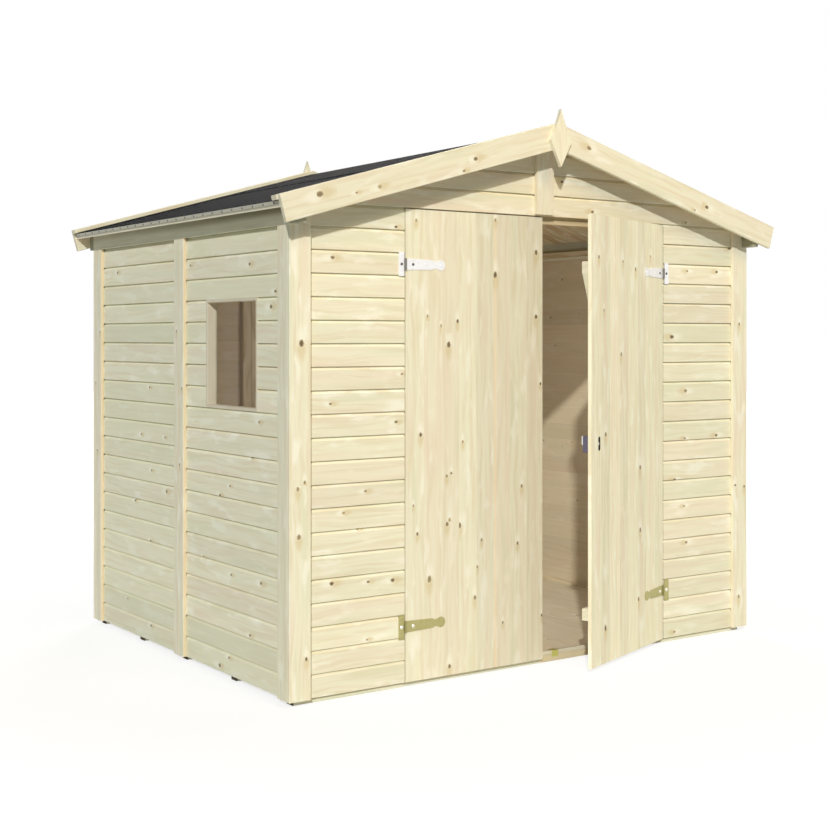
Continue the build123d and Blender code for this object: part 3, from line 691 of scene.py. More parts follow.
def gable_boards(plane, out, known=None):
    """Boards between the slopes; the known knots are (distance to the right, height, ...)."""
    planks = []
    for row in range(GABLE_ROWS):
        base = GABLE_BASE + row * BOARD_COVER
        peak = ridge_height - base - UNDER_RIDGE
        whole = peak > BOARD_COVER
        reach = (ridge_height - base) / math.tan(ROOF_PITCH)
        knots = known and [(x + reach, z - base, radius, darkness) for x, z, radius, darkness in known
                           if base <= z < base + BOARD_COVER]
        planks.append(plank((-reach, plane, base), (reach, plane, base), Z, out,
                            shiplap() if whole else shiplap(top=peak),
                            foot=[slope_planes[-1]], head=[slope_planes[1]],
                            tone=(GABLE_LIGHTNESS, GABLE_WARMING * row), knots=knots,
                            marks=GABLE_MARKS if whole else {0: BACK_TONE}))
    return planks


front_gable, back_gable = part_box("front_gable"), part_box("back_gable")
lay("front_gable_boards", gable_boards(front_gable[1].y, -Y, GABLE_KNOTS), ["front_gable"])
lay("back_gable_boards", gable_boards(back_gable[0].y, Y), ["back_gable"])

# Four thin boards line the window from the face of the wall to the inside of its frame. The
# pane of clear plastic is held near their inner edge.
LINING = 0.012
LINING_TONE = (-0.16, 0.9)
PANE_COLOUR = (0.10, 0.105, 0.11)
PANE_HAZE = 0.08
PANE_HAZE_SPREAD = 0.05
low, high = window_low, window_high
lining_section = rectangle(LINING, high.x - low.x)
inner_low, inner_high = low.y + LINING, high.y - LINING
lining = [plank(begin, end, inward, X, lining_section, knots=[], tone=LINING_TONE) for begin, end, inward in (
    ((low.x, low.y, low.z), (low.x, low.y, high.z), Y), ((low.x, high.y, low.z), (low.x, high.y, high.z), -Y),
    ((low.x, inner_low, low.z), (low.x, inner_high, low.z), Z),
    ((low.x, inner_low, high.z), (low.x, inner_high, high.z), -Z))]
lay("window_lining_boards", lining, ["window_lining"])


def clear_sheet():
    """Thin clear plastic: nearly all of the light goes straight through, a little is mirrored."""
    material, start = new_material("clear_pane")
    _, y, z = start.place().parts()
    ripple = start.noise(y * 6, z * 6, detail=1)
    alpha = ripple.ramp(0.2, 0.9) * PANE_HAZE_SPREAD + PANE_HAZE
    finish_surface(start, PANE_COLOUR, ripple, rough=(0.03, 0.07), bump_height=0.002, alpha=alpha)
    return material


finish_node("window_pane", clear_sheet())

# Flat boards cover the ends of the cladding: at the corners, where the front and back ones
# lap over the side ones, over the panel joints, and up the middle of the front gable.
TRIM_WIDTH = 0.092
TRIM = 0.016
TRIM_ARRIS = 0.0016
EAVES_START = 1.780
BATTEN_BASE = GABLE_BASE + 0.005
OVER_RIDGE = 0.05  # the slopes cut off what stands above them
CORNER_TRIM_KNOTS = (
    (-1.169, 1.34, 0.0068, 1), (-1.179, 0.626, 0.0052, 0.55), (-1.148, 0.174, 0.0041, 0.9),
    (-1.184, 0.804, 0.0047, 0.4), (-1.155, 0.826, 0.0037, 0.55), (1.169, 1.424, 0.0037, 0.8),
    (1.142, 0.676, 0.0045, 0.8), (1.202, 0.672, 0.0045, 0.9), (1.165, 0.160, 0.0050, 0.2),
)
SIDE_TRIM_KNOTS = [(1.369, 0.066, 0.0032, 0.5), (1.128, 0.013, 0.0030, 0.9), (0.806, 0.034, 0.0032, 0.6)]
FRONT_TRIM_TONES = {-1: (0.03, 0.0), 1: (-0.03, 0.1)}
BATTEN_TONE = (-0.04, 0.3)
# A warm tint on both edges of the side trims, as painted sunlight.
EDGE_SUNLIT_TINT = (0.0, 0.0, 0.55)  # sawn edges of the side trims
EDGE_MARKS = {2: EDGE_SUNLIT_TINT, 6: EDGE_SUNLIT_TINT}
end_face = abs(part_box("front_trims")[1].y)  # the planes of the front and back cladding
side_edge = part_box("front_trims")[1].x
side_face = side_edge - TRIM
trim_section = rectangle(TRIM_WIDTH, TRIM, TRIM_ARRIS)
half_trim = np.array([(-TRIM_WIDTH / 2, 0), (0, 0), (TRIM_WIDTH / 2, 0), (TRIM_WIDTH / 2, TRIM),
                      (0, TRIM), (-TRIM_WIDTH / 2, TRIM)])


def middle_trim(x, plane, base, out, roof, knots=None, tone=None):
    """A trim over a joint, up to the roof; its face is in two halves for the two slopes."""
    return plank((x, plane, base), (x, plane, ridge_height + OVER_RIDGE), X, out, half_trim, knots=knots,
                 tone=tone, head=roof)


def end_trims(sign, joints, known=None, tones=None):
    """The trims on one end wall; a corner one narrows beside the eaves beam above the side walls."""
    plane, out = sign * end_face, sign * Y
    planks = []
    for side in (-1, 1):
        inner = side * (side_edge - TRIM_WIDTH)
        tone = tones and tones[side]
        knots = known and [(z - WALL_BASE, abs(x) - abs(inner), radius, darkness)
                           for x, z, radius, darkness in known if x * side > 0]
        planks.append(plank((inner, plane, WALL_BASE), (inner, plane, EAVES_START), side * X, out,
                            trim_section, knots=knots, tone=tone))
        narrow = rectangle(BEAM_FACE - abs(inner), TRIM, TRIM_ARRIS)
        planks.append(plank((inner, plane, EAVES_START), (inner, plane, ridge_height), side * X, out,
                            narrow, knots=[], tone=tone, head=[slope_planes[side]]))
    for x in joints:
        planks.append(middle_trim(x, plane, WALL_BASE, out, [slope_planes[1 if x > 0 else -1]]))
    return planks


front_planks = end_trims(-1, [], CORNER_TRIM_KNOTS, FRONT_TRIM_TONES)
front_planks.append(middle_trim(0, -end_face, BATTEN_BASE, -Y, list(slope_planes.values()), [], BATTEN_TONE))
lay("front_trim_boards", front_planks, ["front_trims"])
lay("back_trim_boards", end_trims(1, BACK_JOINTS), ["back_trims"])
corner_section = rectangle(TRIM_WIDTH - TRIM, TRIM, TRIM_ARRIS)
for side, sign in (("left", -1), ("right", 1)):
    places = ((-TRIM_WIDTH / 2, Y, trim_section, SIDE_TRIM_KNOTS), (-end_face, Y, corner_section, []),
              (end_face, -Y, corner_section, SIDE_TRIM_KNOTS))
    planks = [plank((sign * side_face, y, WALL_BASE), (sign * side_face, y, EAVES_START), across, sign * X,
                    section, knots=knots, marks=EDGE_MARKS) for y, across, section, knots in places]
    lay(f"{side}_trim_boards", planks, [f"{side}_trims"])

# The beams on the side walls and the battens along the eaves are sawn and stand in the
# roof's shade. The beams are painted darker under the roof's boards, as painted shade.
BEAM_EARLY = (0.80, 0.80, 0.63)
BEAM_LATE = (0.64, 0.60, 0.42)
BEAM_PAINTED_SHADE = (0.16, 0.15, 0.085)
BEAM_SHADE_RISE = (0.020, 0.058)  # above the beam's foot
BEAM_SHADE_LENGTH = (1.2, -0.8)  # grows from the back to the front
BEAM_SHADE_END = (0.014, 0.018)  # past the walls
BATTEN_EARLY = (0.88, 0.84, 0.68)
BATTEN_LATE = (0.76, 0.68, 0.50)


def beam_wood():
    """Sawn spruce with painted shade high up, more so towards the front, and on the ends under the barges."""
    material, start = new_material("beam_wood")
    x, y, z = start.place().parts()
    streak = streaks(start, BROAD_BANDS, y, z + x * RING_SLANT)
    colour = (streak.ramp(0.40, 0.72) * 0.6).mix(BEAM_EARLY, BEAM_LATE)
    # Painted shade under the eaves batten and the roof's boards, growing towards the front.
    high = (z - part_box("eaves_beams")[0].z).ramp(*BEAM_SHADE_RISE)
    colour = colour.tinted(BEAM_PAINTED_SHADE, high * (y.ramp(*BEAM_SHADE_LENGTH) * 0.6 + 0.3))
    # Painted shade on the ends that stand out under the barge boards.
    colour = colour.tinted(BEAM_PAINTED_SHADE, (abs(y) - end_face).ramp(*BEAM_SHADE_END), share=0.65)
    finish_surface(start, colour, streak, rough=(0.68, 0.78), bump_height=0.0004)
    return material


finish_node("eaves_beams", beam_wood())
finish_node("eaves_battens", spruce("batten_wood", BATTEN_EARLY, BATTEN_LATE, "Y", roughness=0.66))

# The roof's boards run from the ridge down to the eaves, edge to edge, with small V joints
# below. Their spruce is painted darker and browner than the walls', as painted shade for the
# underside that little light reaches.
ROOF_SHADED_EARLY = (0.56, 0.40, 0.20)
ROOF_SHADED_LATE = (0.42, 0.28, 0.12)
ROOF_BOARDS = 23
ROOF_BOARD = 0.016
JOINT_DEPTH = 0.003
FELT = 0.003
EAVES_BATTEN = 0.018
PAST_MIDDLE = (0.02, 0.03, 0.05)  # what the middle plane cuts off roof boards, battens and barges
felt_top = ROOF_BOARD + FELT
felt_edge = (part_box("felt_right")[1].x - felt_top * rise) / run
board_edge = felt_edge - FELT - EAVES_BATTEN
middle_plane = (ridge_line, X)
roof_low, roof_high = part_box("roof_boards_right")
roof_width = (roof_high.y - roof_low.y) / ROOF_BOARDS
roof_section = np.array([(JOINT_DEPTH / 2, 0), (roof_width - JOINT_DEPTH / 2, 0), (roof_width, JOINT_DEPTH),
                         (roof_width, ROOF_BOARD), (0, ROOF_BOARD), (0, JOINT_DEPTH)])
# Painted shade: the roof's spruce is darker and browner than the walls'.
roof_wood = spruce("roof_wood", ROOF_SHADED_EARLY, ROOF_SHADED_LATE)


def sloping(sign, begin, edge, past, across, out, section, knots=None):
    """A board from the middle of the roof down one slope to its edge."""
    down = down_slope[sign]
    return plank(begin - past * down, begin + edge * down, across, out, section, knots=knots,
                 foot=[middle_plane])


for side, sign in (("left", -1), ("right", 1)):
    planks = [sloping(sign, ridge_line + (roof_low.y + n * roof_width) * Y, board_edge, PAST_MIDDLE[0], Y,
                      off_slope[sign], roof_section) for n in range(ROOF_BOARDS)]
    lay(f"roof_boards_{side}_slope", planks, [f"roof_boards_{side}"], material=roof_wood)

# Mineral felt lies over each slope in two strips that lap, and its lower edge is folded down
# over the eaves batten and nailed.
FELT_DARK = (0.004, 0.0045, 0.006)
FELT_LIGHT = (0.011, 0.012, 0.0155)
FELT_LIP_LIT_COLOUR = (0.60, 0.58, 0.49)
GRIT_SHARE = 0.5
WORN_SHARE = 0.25
FELT_LIP = 0.016
FELT_INSET = 0.001  # from the roof boards' ends
LAP_PLACE = 0.42  # of the way down from the ridge
LAP_STEP = 0.0018
LAP_SLANT = 0.001  # length over which the lap steps down
FOLD_RADIUS = 0.004
FOLD_STEPS = 5
SLOPE_STEPS = (30, 40)  # above and below the lap
# The folded lip, painted pale as painted light, begins at this step.
LIP_START = 2  # the step of the fold from which the raw edge shows
LIP_STEPS = 3
LENGTH_STEPS = 90
RIPPLE = 0.0004
lap_edge = LAP_PLACE * felt_edge


def felt_finish():
    """Bitumen felt with slate granules, worn paler in patches. On its folded lip the same felt is painted far
    paler than on the slope, as painted light.
    """
    material, start = new_material("mineral_felt")
    grit = start.place().cloud(900.0)
    x, y, z = start.place().parts()
    worn = start.noise(x * 3, y * 3, z * 3, detail=3)
    pale = grit.ramp(0.45, 0.75) * GRIT_SHARE + worn.ramp(0.4, 0.9) * WORN_SHARE
    lip = start.node("Attribute", {"attribute_name": "lip"}, output=2)
    # Painted light: the folded lip is far paler than the same felt on the slope.
    colour = pale.mix(FELT_DARK, FELT_LIGHT).tinted(FELT_LIP_LIT_COLOUR, lip)
    finish_surface(start, colour, grit, rough=(0.86, 0.96), bump_height=0.0006, specular=0.03)
    return material


def felt_sheet(sign):
    """Heights over the boards' underside along one slope, swept from front to back.

    From the ridge the sheet lies on the boards, swells by a soft ripple of under a millimetre,
    steps down at the lap, turns through a quarter circle at the eaves and ends in its lip. With
    y along the shed and s down the slope, ripple = -depth * (1 + sin(9y + 5s) * sin(13y - 3s))."""
    on_slope = np.concatenate([np.linspace(0, lap_edge, SLOPE_STEPS[0]),
                               np.linspace(lap_edge + LAP_SLANT, felt_edge - FOLD_RADIUS, SLOPE_STEPS[1])])
    lower_top = felt_top - LAP_STEP
    turn = np.linspace(0, math.pi / 2, FOLD_STEPS)[1:]
    fold = felt_edge - FOLD_RADIUS + FOLD_RADIUS * np.sin(turn)
    fold_height = lower_top - FOLD_RADIUS + FOLD_RADIUS * np.cos(turn)
    lip_foot = ROOF_BOARD - FELT_LIP
    lip_height = np.linspace(fold_height[-1], lip_foot, LIP_STEPS + 1)[1:]
    along = np.concatenate([on_slope, fold, np.full(LIP_STEPS, felt_edge), np.full(2, felt_edge - FELT)])
    above = np.concatenate([np.where(on_slope <= lap_edge, felt_top, lower_top), fold_height, lip_height,
                            [lip_foot, ROOF_BOARD]])
    along[0] = -felt_top * math.tan(ROOF_PITCH)
    y = np.linspace(roof_low.y + FELT_INSET, roof_high.y - FELT_INSET, LENGTH_STEPS)
    flat = len(on_slope)
    height = np.tile(above, (len(y), 1))
    y_grid, s_grid = np.meshgrid(y, along[1:flat], indexing="ij")
    height[:, 1:flat] -= RIPPLE * (1 + np.sin(9 * y_grid + 5 * s_grid) * np.sin(13 * y_grid - 3 * s_grid))
    points = (ridge_line + along[None, :, None] * down_slope[sign] + height[:, :, None] * off_slope[sign]
              + y[:, None, None] * Y)
    rows, columns = height.shape
    first = (np.arange(rows - 1)[:, None] * columns + np.arange(columns - 1)[None, :]).ravel()
    quads = np.column_stack([first, first + 1, first + columns + 1, first + columns])
    mesh = bpy.data.meshes.new("felt")
    mesh.from_pydata(points.reshape(-1, 3), [], quads[:, ::-sign].tolist())
    is_lip = np.tile(np.arange(columns) >= flat + LIP_START, rows).astype(np.float32)
    mesh.attributes.new("lip", "FLOAT", "POINT").data.foreach_set("value", is_lip)
    mesh.materials.append(felt_material)
    mesh.shade_smooth()
    return mesh


felt_material = felt_finish()
for side, sign in (("left", -1), ("right", 1)):
    place_piece(f"felt_sheet_{side}", felt_sheet(sign), "shed", [f"felt_{side}"])

# Battens press the felt down along the front and back edges of the roof, and barge boards
# cover the ends of the roof's boards under them.
VERGE_BATTEN = 0.018
VERGE_WIDTH = 0.038
VERGE_ARRIS = 0.002
BARGE = 0.018
BARGE_WIDTH = 0.104
BARGE_ARRIS = 0.0025
BARGE_END = 0.006  # past the felt
VERGE_END = 0.006  # past the barge boards
BARGE_LEFT_KNOTS = ((1.235, 0.068, 0.0075, 0.7), (0.501, 0.048, 0.0055, 0.8), (0.57, 0.014, 0.004, 0.4),
                    (1.079, 0.039, 0.003, 0.4), (0.972, 0.038, 0.005, 0.1))
BARGE_RIGHT_KNOTS = ((0.223, 0.061, 0.006, 0.55), (0.953, 0.05, 0.0058, 0.9), (0.885, 0.013, 0.003, 0.6))
barge_edge = felt_edge + BARGE_END
barge_foot = felt_top + VERGE_BATTEN - BARGE_WIDTH
barge_low, barge_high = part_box("barge_boards_right")
verge_section = rectangle(VERGE_WIDTH, VERGE_BATTEN, VERGE_ARRIS)
barge_section = rectangle(BARGE_WIDTH, BARGE, BARGE_ARRIS)
for side, sign, known in (("left", -1, BARGE_LEFT_KNOTS), ("right", 1, BARGE_RIGHT_KNOTS)):
    off = off_slope[sign]
    planks = [sloping(sign, ridge_line + felt_top * off + y * Y, barge_edge + VERGE_END, PAST_MIDDLE[1],
                      Y, off, verge_section) for y in (roof_low.y, roof_high.y - VERGE_WIDTH)]
    lay(f"verge_battens_{side}_slope", planks, [f"verge_battens_{side}"])
    planks = [sloping(sign, ridge_line + barge_foot * off + plane * Y, barge_edge, PAST_MIDDLE[2], off, out,
                      barge_section, knots) for plane, out, knots in ((barge_low.y + BARGE, -Y, known),
                                                                      (barge_high.y - BARGE, Y, None))]
    lay(f"barge_boards_{side}_slope", planks, [f"barge_boards_{side}"])

# A four-pointed finial, sawn from a spruce board, is nailed over the joint of each pair of
# barge boards.
FINIAL = 0.016
FINIAL_SIDE_STEPS = 9
FINIAL_HOLLOW = 0.004
FINIAL_WIDEST = 0.45  # share of its height
FINIAL_TONE = (0.02, 0.2)
FINIAL_LOG = 3.0  # where in the wood both are cut
finial_low, finial_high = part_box("finials")


def finial_section():
    """The finial from its foot up, as (across, up) points: a straight side, then a bow inwards.

    The bow is a parabola, deepest halfway: x = half * (1 - s) - 4 * hollow * s * (1 - s)."""
    height = finial_high.z - finial_low.z
    s = np.linspace(0, 1, FINIAL_SIDE_STEPS)
    x = finial_high.x * (1 - s) - 4 * FINIAL_HOLLOW * s * (1 - s)
    right = np.column_stack([x, height * (FINIAL_WIDEST + s * (1 - FINIAL_WIDEST))])
    left = (right * (-1, 1))[::-1][1:]
    return np.vstack([[(0, 0)], right, left])


def finial_board(y):
    """Cut with the grain upright, though its section travels from front to back."""
    base = np.array([0, y, finial_low.z])
    made = plank(base, base + FINIAL * Y, X, Z, finial_section(), knots=[], tone=FINIAL_TONE)
    across, depth, up = made["points"][made["loops"]].T
    made["grain"] = np.column_stack([up, across + RING_SLANT * depth]) + FINIAL_LOG
    made["tone"][:, 0] = FINIAL_TONE[0]
    return made


lay("finial_boards", [finial_board(finial_low.y), finial_board(finial_high.y - FINIAL)], ["finials"])

# Each door is eight upright boards, nailed to two ledges and a brace behind them. They are
# made as the right door shut; the left one is its mirror, and the right one stands ajar.
DOOR_BOARDS = 8
DOOR_GAP = 0.005
LEAF = 0.016
LEAF_ARRIS = 0.0005
LEDGE = 0.028
LEDGE_HEIGHT = 0.048
LEDGE_SETBACK = 0.002
LEDGE_HINGE_SETBACK = 0.012
LEDGE_ARRIS = 0.002
BRACE_OVER = 0.03  # the ledges' planes cut off what stands past them
AJAR = math.radians(21)
KEYHOLE_SETBACK = 0.070
KEYHOLE_WIDTH = 0.018
KEYHOLE_HEIGHT = 0.058
KEYHOLE_STEPS = 12
LOCK_HEIGHT = 0.928
CUTTER_OVER = 0.01
SLOT_SHADE_DARK = (0.012, 0.009, 0.007)
SLOT_SHADE_BROWN = (0.05, 0.038, 0.025)
LEFT_DOOR_KNOTS = (
    (0.252, 1.617, 0.0064, 1), (0.433, 0.611, 0.0058, 1), (0.486, 1.333, 0.006, 0.9),
    (0.037, 1.715, 0.0057, 0.83), (0.037, 1.448, 0.005, 1), (0.622, 0.981, 0.0049, 0.97),
    (0.494, 0.621, 0.005, 0.72), (0.482, 0.055, 0.0049, 0.78), (0.442, 1.427, 0.0043, 1),
    (0.355, 0.315, 0.0049, 0.57), (0.136, 0.515, 0.0039, 0.73), (0.014, 1.169, 0.0034, 0.95),
    (0.496, 0.814, 0.0045, 0.3), (0.474, 0.821, 0.0034, 0.67), (0.522, 1.408, 0.0039, 0.4),
    (0.322, 0.544, 0.0037, 0.38), (0.251, 1.839, 0.0039, 0.27), (0.482, 0.637, 0.0039, 0.2),
    (0.344, 0.437, 0.0034, 0.2), (0.643, 1.819, 0.0037, 0.15), (0.589, 1.446, 0.0032, 0.17),
    (0.417, 0.944, 0.0034, 0.15), (0.580, 0.411, 0.0066, 0.55), (0.638, 0.593, 0.0036, 0.9),
    (0.114, 0.749, 0.0038, 0.7), (0.213, 0.198, 0.003, 0.8), (0.007, 0.204, 0.0034, 0.8),
    (0.657, 0.705, 0.0028, 0.6),
)
RIGHT_DOOR_KNOTS = (
    (0.461, 0.531, 0.0055, 0.88), (0.46, 0.801, 0.0055, 0.8), (0.13, 0.962, 0.0052, 0.8),
    (0.415, 1.655, 0.0047, 1), (0.444, 0.235, 0.0052, 0.73), (0.069, 1.691, 0.0043, 0.92),
    (0.275, 1.292, 0.0045, 0.73), (0.292, 1.682, 0.0034, 0.43), (0.567, 1.716, 0.0034, 0.22),
    (0.116, 1.474, 0.0034, 0.2), (0.128, 0.165, 0.0062, 1),
)
LEFT_DOOR_TONES = (-0.24, -0.18, -0.15, -0.14, -0.03, -0.05, -0.02, -0.01)  # from the free edge
RIGHT_DOOR_TONES = (0.12, 0.05, 0.16, 0.06, 0.14, 0.05, 0.13, 0.09)
DOOR_WARMTH = 0.25  # spread
LEFT_DOOR_STREAK = (0.2590, 0.2555, 0.2470, 0.2420)
STREAK_SIDE = (0.04, 0.0, 0.14)
STREAK_MIDDLE = (0.09, 0.0, 0.36)
leaf_low, leaf_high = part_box("left_door_leaf")
door_face = leaf_low.y
leaf_back = door_face + LEAF
leaf_free, leaf_hinge = DOOR_GAP / 2, HALF_DOORWAY - DOOR_GAP
ledge_free, ledge_hinge = leaf_free + LEDGE_SETBACK, leaf_hinge - LEDGE_HINGE_SETBACK
ledge_section = rectangle(LEDGE_HEIGHT, LEDGE, LEDGE_ARRIS)
pin = np.array(next(j for j in frame["joints"] if j["child"] == "right_door")["pos_m"])
hinge_levels = [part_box("left_door_ledges")[0].z + LEDGE_HEIGHT / 2,
                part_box("left_door_ledges")[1].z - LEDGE_HEIGHT / 2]


def as_ajar(points):
    """Turned about the right door's pin by the angle at which it stands open."""
    c, s = math.cos(AJAR), math.sin(AJAR)
    turn = np.array([[c, -s, 0], [s, c, 0], [0, 0, 1]])
    return (points - pin) @ turn.T + pin


def mirrored(points):
    """The same points on the other side of the shed's middle."""
    return points * (-1, 1, 1)


def as_shut_left(planks):
    """Planks of the right door, mirrored for the left one, with their faces turned out again."""
    for made in planks:
        ends = np.cumsum(made["sizes"])
        order = np.concatenate([np.arange(b - 1, a - 1, -1) for a, b in zip(ends - made["sizes"], ends)])
        for key in ("loops", "grain", "knot"):
            made[key] = made[key][order]
        made["points"] = mirrored(made["points"])
    return planks


def leaf_boards(known, tones, streak=()):
    """The boards from the free edge on; the known knots are (distance from the middle, height, ...).

    The streak is four places, furthest first: a stripe of resin between two fainter ones."""
    width = (leaf_hinge - leaf_free) / DOOR_BOARDS
    planks = []
    for n in range(DOOR_BOARDS):
        x = leaf_free + n * width
        knots = [(z - WALL_BASE, place - x, radius, darkness) for place, z, radius, darkness in known
                 if x <= place < x + width]
        marks = {0: BACK_TONE}
        stripes = [s - x for s in streak if x < s < x + width]
        if stripes:
            marks.update({5: STREAK_SIDE, 6: STREAK_MIDDLE, 7: STREAK_SIDE})
        planks.append(plank((x, leaf_back, WALL_BASE), (x, leaf_back, leaf_high.z), X, -Y,
                            rectangle(width, LEAF, LEAF_ARRIS, stripes), knots=knots,
                            tone=(tones[n], chance.normal(0, DOOR_WARMTH)), marks=marks))
    return planks


def ledge_boards():
    """The two ledges, lying across the back of the leaf."""
    feet = [z - LEDGE_HEIGHT / 2 for z in hinge_levels]
    return [plank((ledge_free, leaf_back, z), (ledge_hinge, leaf_back, z), Z, Y, ledge_section) for z in feet]


def brace_board():
    """The brace's sides follow its slope, and its ends lie flat on the ledges."""
    low, high = hinge_levels[0] + LEDGE_HEIGHT / 2, hinge_levels[1] - LEDGE_HEIGHT / 2
    climb, width = high - low, ledge_hinge - ledge_free
    foot = np.array([ledge_hinge - LEDGE_HEIGHT * math.hypot(climb, width) / climb, leaf_back, low])
    head = np.array([ledge_free, leaf_back, high])
    along = (head - foot) / np.linalg.norm(head - foot)
    across = np.cross(along, Y)
    across *= np.sign(across @ X)
    return [plank(foot - BRACE_OVER * along, head + BRACE_OVER * along, across, Y, ledge_section,
                  foot=[(foot, Z)], head=[(head, Z)])]


def slot_wood():
    """The slot's cut sides, painted dark, as painted shade inside the slot."""
    material, start = new_material("slot_wood")
    x, y, z = start.place().parts()
    shade_cloud = start.noise(x * 200, y * 200, z * 90)
    # Painted shade inside the key's slot.
    colour = shade_cloud.ramp(0.3, 0.8).mix(SLOT_SHADE_DARK, SLOT_SHADE_BROWN)
    finish_surface(start, colour, shade_cloud, rough=(0.75, 0.85))
    return material


def cut_keyhole(piece):
    """Cuts the key's slot through a leaf with a cutter: two half circles and straight sides."""
    radius, straight = KEYHOLE_WIDTH / 2, (KEYHOLE_HEIGHT - KEYHOLE_WIDTH) / 2
    turn = np.linspace(0, math.pi, KEYHOLE_STEPS)
    top = np.column_stack([radius * np.cos(turn), straight + radius * np.sin(turn)])
    ring = np.vstack([top, -top]) + (leaf_free + KEYHOLE_SETBACK, LOCK_HEIGHT)
    count = len(ring)
    points = np.vstack([np.column_stack([ring[:, 0], np.full(count, y), ring[:, 1]])
                        for y in (door_face - CUTTER_OVER, leaf_back + CUTTER_OVER)])
    near = np.arange(count)
    after = (near + 1) % count
    sides = np.column_stack([near, near + count, after + count, after]).tolist()
    mesh = bpy.data.meshes.new("cutter")
    mesh.from_pydata(as_ajar(points), [], [near.tolist(), (near + count)[::-1].tolist(), *sides])
    cut_shade = slot_wood()
    for material in (boards_wood, cut_shade):
        mesh.materials.append(material)
    piece.data.materials.append(cut_shade)
    mesh.polygons.foreach_set("material_index", np.ones(len(mesh.polygons), np.int32))
    cutter = bpy.data.objects.new("cutter", mesh)
    bpy.context.scene.collection.objects.link(cutter)
    cut = piece.modifiers.new("keyhole", "BOOLEAN")
    cut.object = cutter
    cut.solver = "EXACT"
    result = bpy.data.meshes.new_from_object(piece.evaluated_get(bpy.context.evaluated_depsgraph_get()))
    piece.modifiers.clear()
    piece.data = result
    bpy.data.objects.remove(cutter)


def lay_part(door, part, planks, node=None, turned=None):
    """Lays planks as one part of a door, in place of the door's node."""
    return lay(f"{door}_{part}", planks, [f"{door}_{node}"] if node else (), body=door, turned=turned)


left_boards = leaf_boards(LEFT_DOOR_KNOTS, LEFT_DOOR_TONES, LEFT_DOOR_STREAK)
lay_part("left_door", "boards", as_shut_left(left_boards), "leaf")
lay_part("left_door", "ledge_boards", as_shut_left(ledge_boards()), "ledges")
lay_part("left_door", "brace_board", as_shut_left(brace_board()), "brace")
right_boards = leaf_boards(RIGHT_DOOR_KNOTS, RIGHT_DOOR_TONES)
cut_keyhole(lay_part("right_door", "lock_board", right_boards[:1], turned=as_ajar))
lay_part("right_door", "boards", right_boards[1:], "leaf", as_ajar)
lay_part("right_door", "ledge_boards", ledge_boards(), "ledges", as_ajar)
lay_part("right_door", "brace_board", brace_board(), "brace", as_ajar)

# T-hinges of pressed steel hang the doors: the upper ones bright zinc, the lower ones and the
# keep passivated yellow. Dome headed bolts and screws fix them.
ZINC_BRIGHT = (0.87, 0.86, 0.85)
ZINC_YELLOW = (0.47, 0.43, 0.19)
ZINC_KEEP = (0.56, 0.54, 0.16)
ZINC_CHANGE = (0.8, 1.0)  # height between the two finishes
ZINC_BLOTCH = 0.72
# Painted shade, with some dirt, in the knuckles beside the plates.
KNUCKLE_DIRT_AND_SHADE = (0.09, 0.08, 0.05)
KNUCKLE_REACH = (0.0062, 0.0045)  # from the pin's line
KNUCKLE_SHARE = 0.25  # of dirt on the lower hinges
KNUCKLE_RISE = 0.6  # how much more of it the upper ones have
BOLT_PAINTED_SHADE = (0.13, 0.12, 0.12)
BOLT_BRIGHT = (0.86, 0.84, 0.76)
HINGE_METAL = 0.0025
BOLT = (0.0080, 0.0040)  # radius and height of a head
SMALL_BOLT = (0.0060, 0.0030)  # on the upper hinges
SCREW = (0.0042, 0.0018)
BOLT_SIDES = 16
HEAD_RINGS = 4
STRAP_FIXINGS = ((0.036, "bolts"), (0.092, "screws"), (0.1695, "screws"))  # from the pin
PLATE_MIDDLE = 0.018  # from the pin
PLATE_FIXINGS = ((-0.035, "screws"), (0, "bolts"), (0.035, "screws"))


def zinc(name, low_colour):
    """Zinc plate with faint blotches: bright high up, yellow passivated low down.

    The knuckles round the hinges' pins are darkened: painted shade beside the plates, with some dirt, and
    more on the upper hinges."""
    material, start = new_material(name)
    x, y, z = start.place().parts()
    cloud = start.place().cloud(60.0, 3.0)
    height = z.ramp(*ZINC_CHANGE)
    plating = height.mix(low_colour, ZINC_BRIGHT)
    blotched = plating.vector_math("SCALE", {"Scale": ZINC_BLOTCH})
    colour = plating.tinted(blotched, cloud.ramp(0.4, 0.8), share=0.35)
    knuckle = abs(abs(x) - float(pin[0])).ramp(*KNUCKLE_REACH)
    # Painted shade in the knuckles, with some dirt, stronger on the upper hinges.
    colour = colour.tinted(KNUCKLE_DIRT_AND_SHADE, knuckle * (height * KNUCKLE_RISE + KNUCKLE_SHARE))
    finish_surface(start, colour, cloud, rough=(0.28, 0.53), metallic=0.9)
    return material


def bolt_metal():
    """Bolt heads: painted dark on the upper hinges, as painted shade, and bright on the lower ones."""
    material, start = new_material("zinc_bolts")
    _, _, z = start.place().parts()
    cloud = start.place().cloud(120.0)
    # Painted shade: the upper hinges' heads are dark.
    colour = z.ramp(*ZINC_CHANGE).mix(BOLT_BRIGHT, BOLT_PAINTED_SHADE)
    finish_surface(start, colour, cloud, rough=(0.25, 0.45), metallic=0.8)
    return material


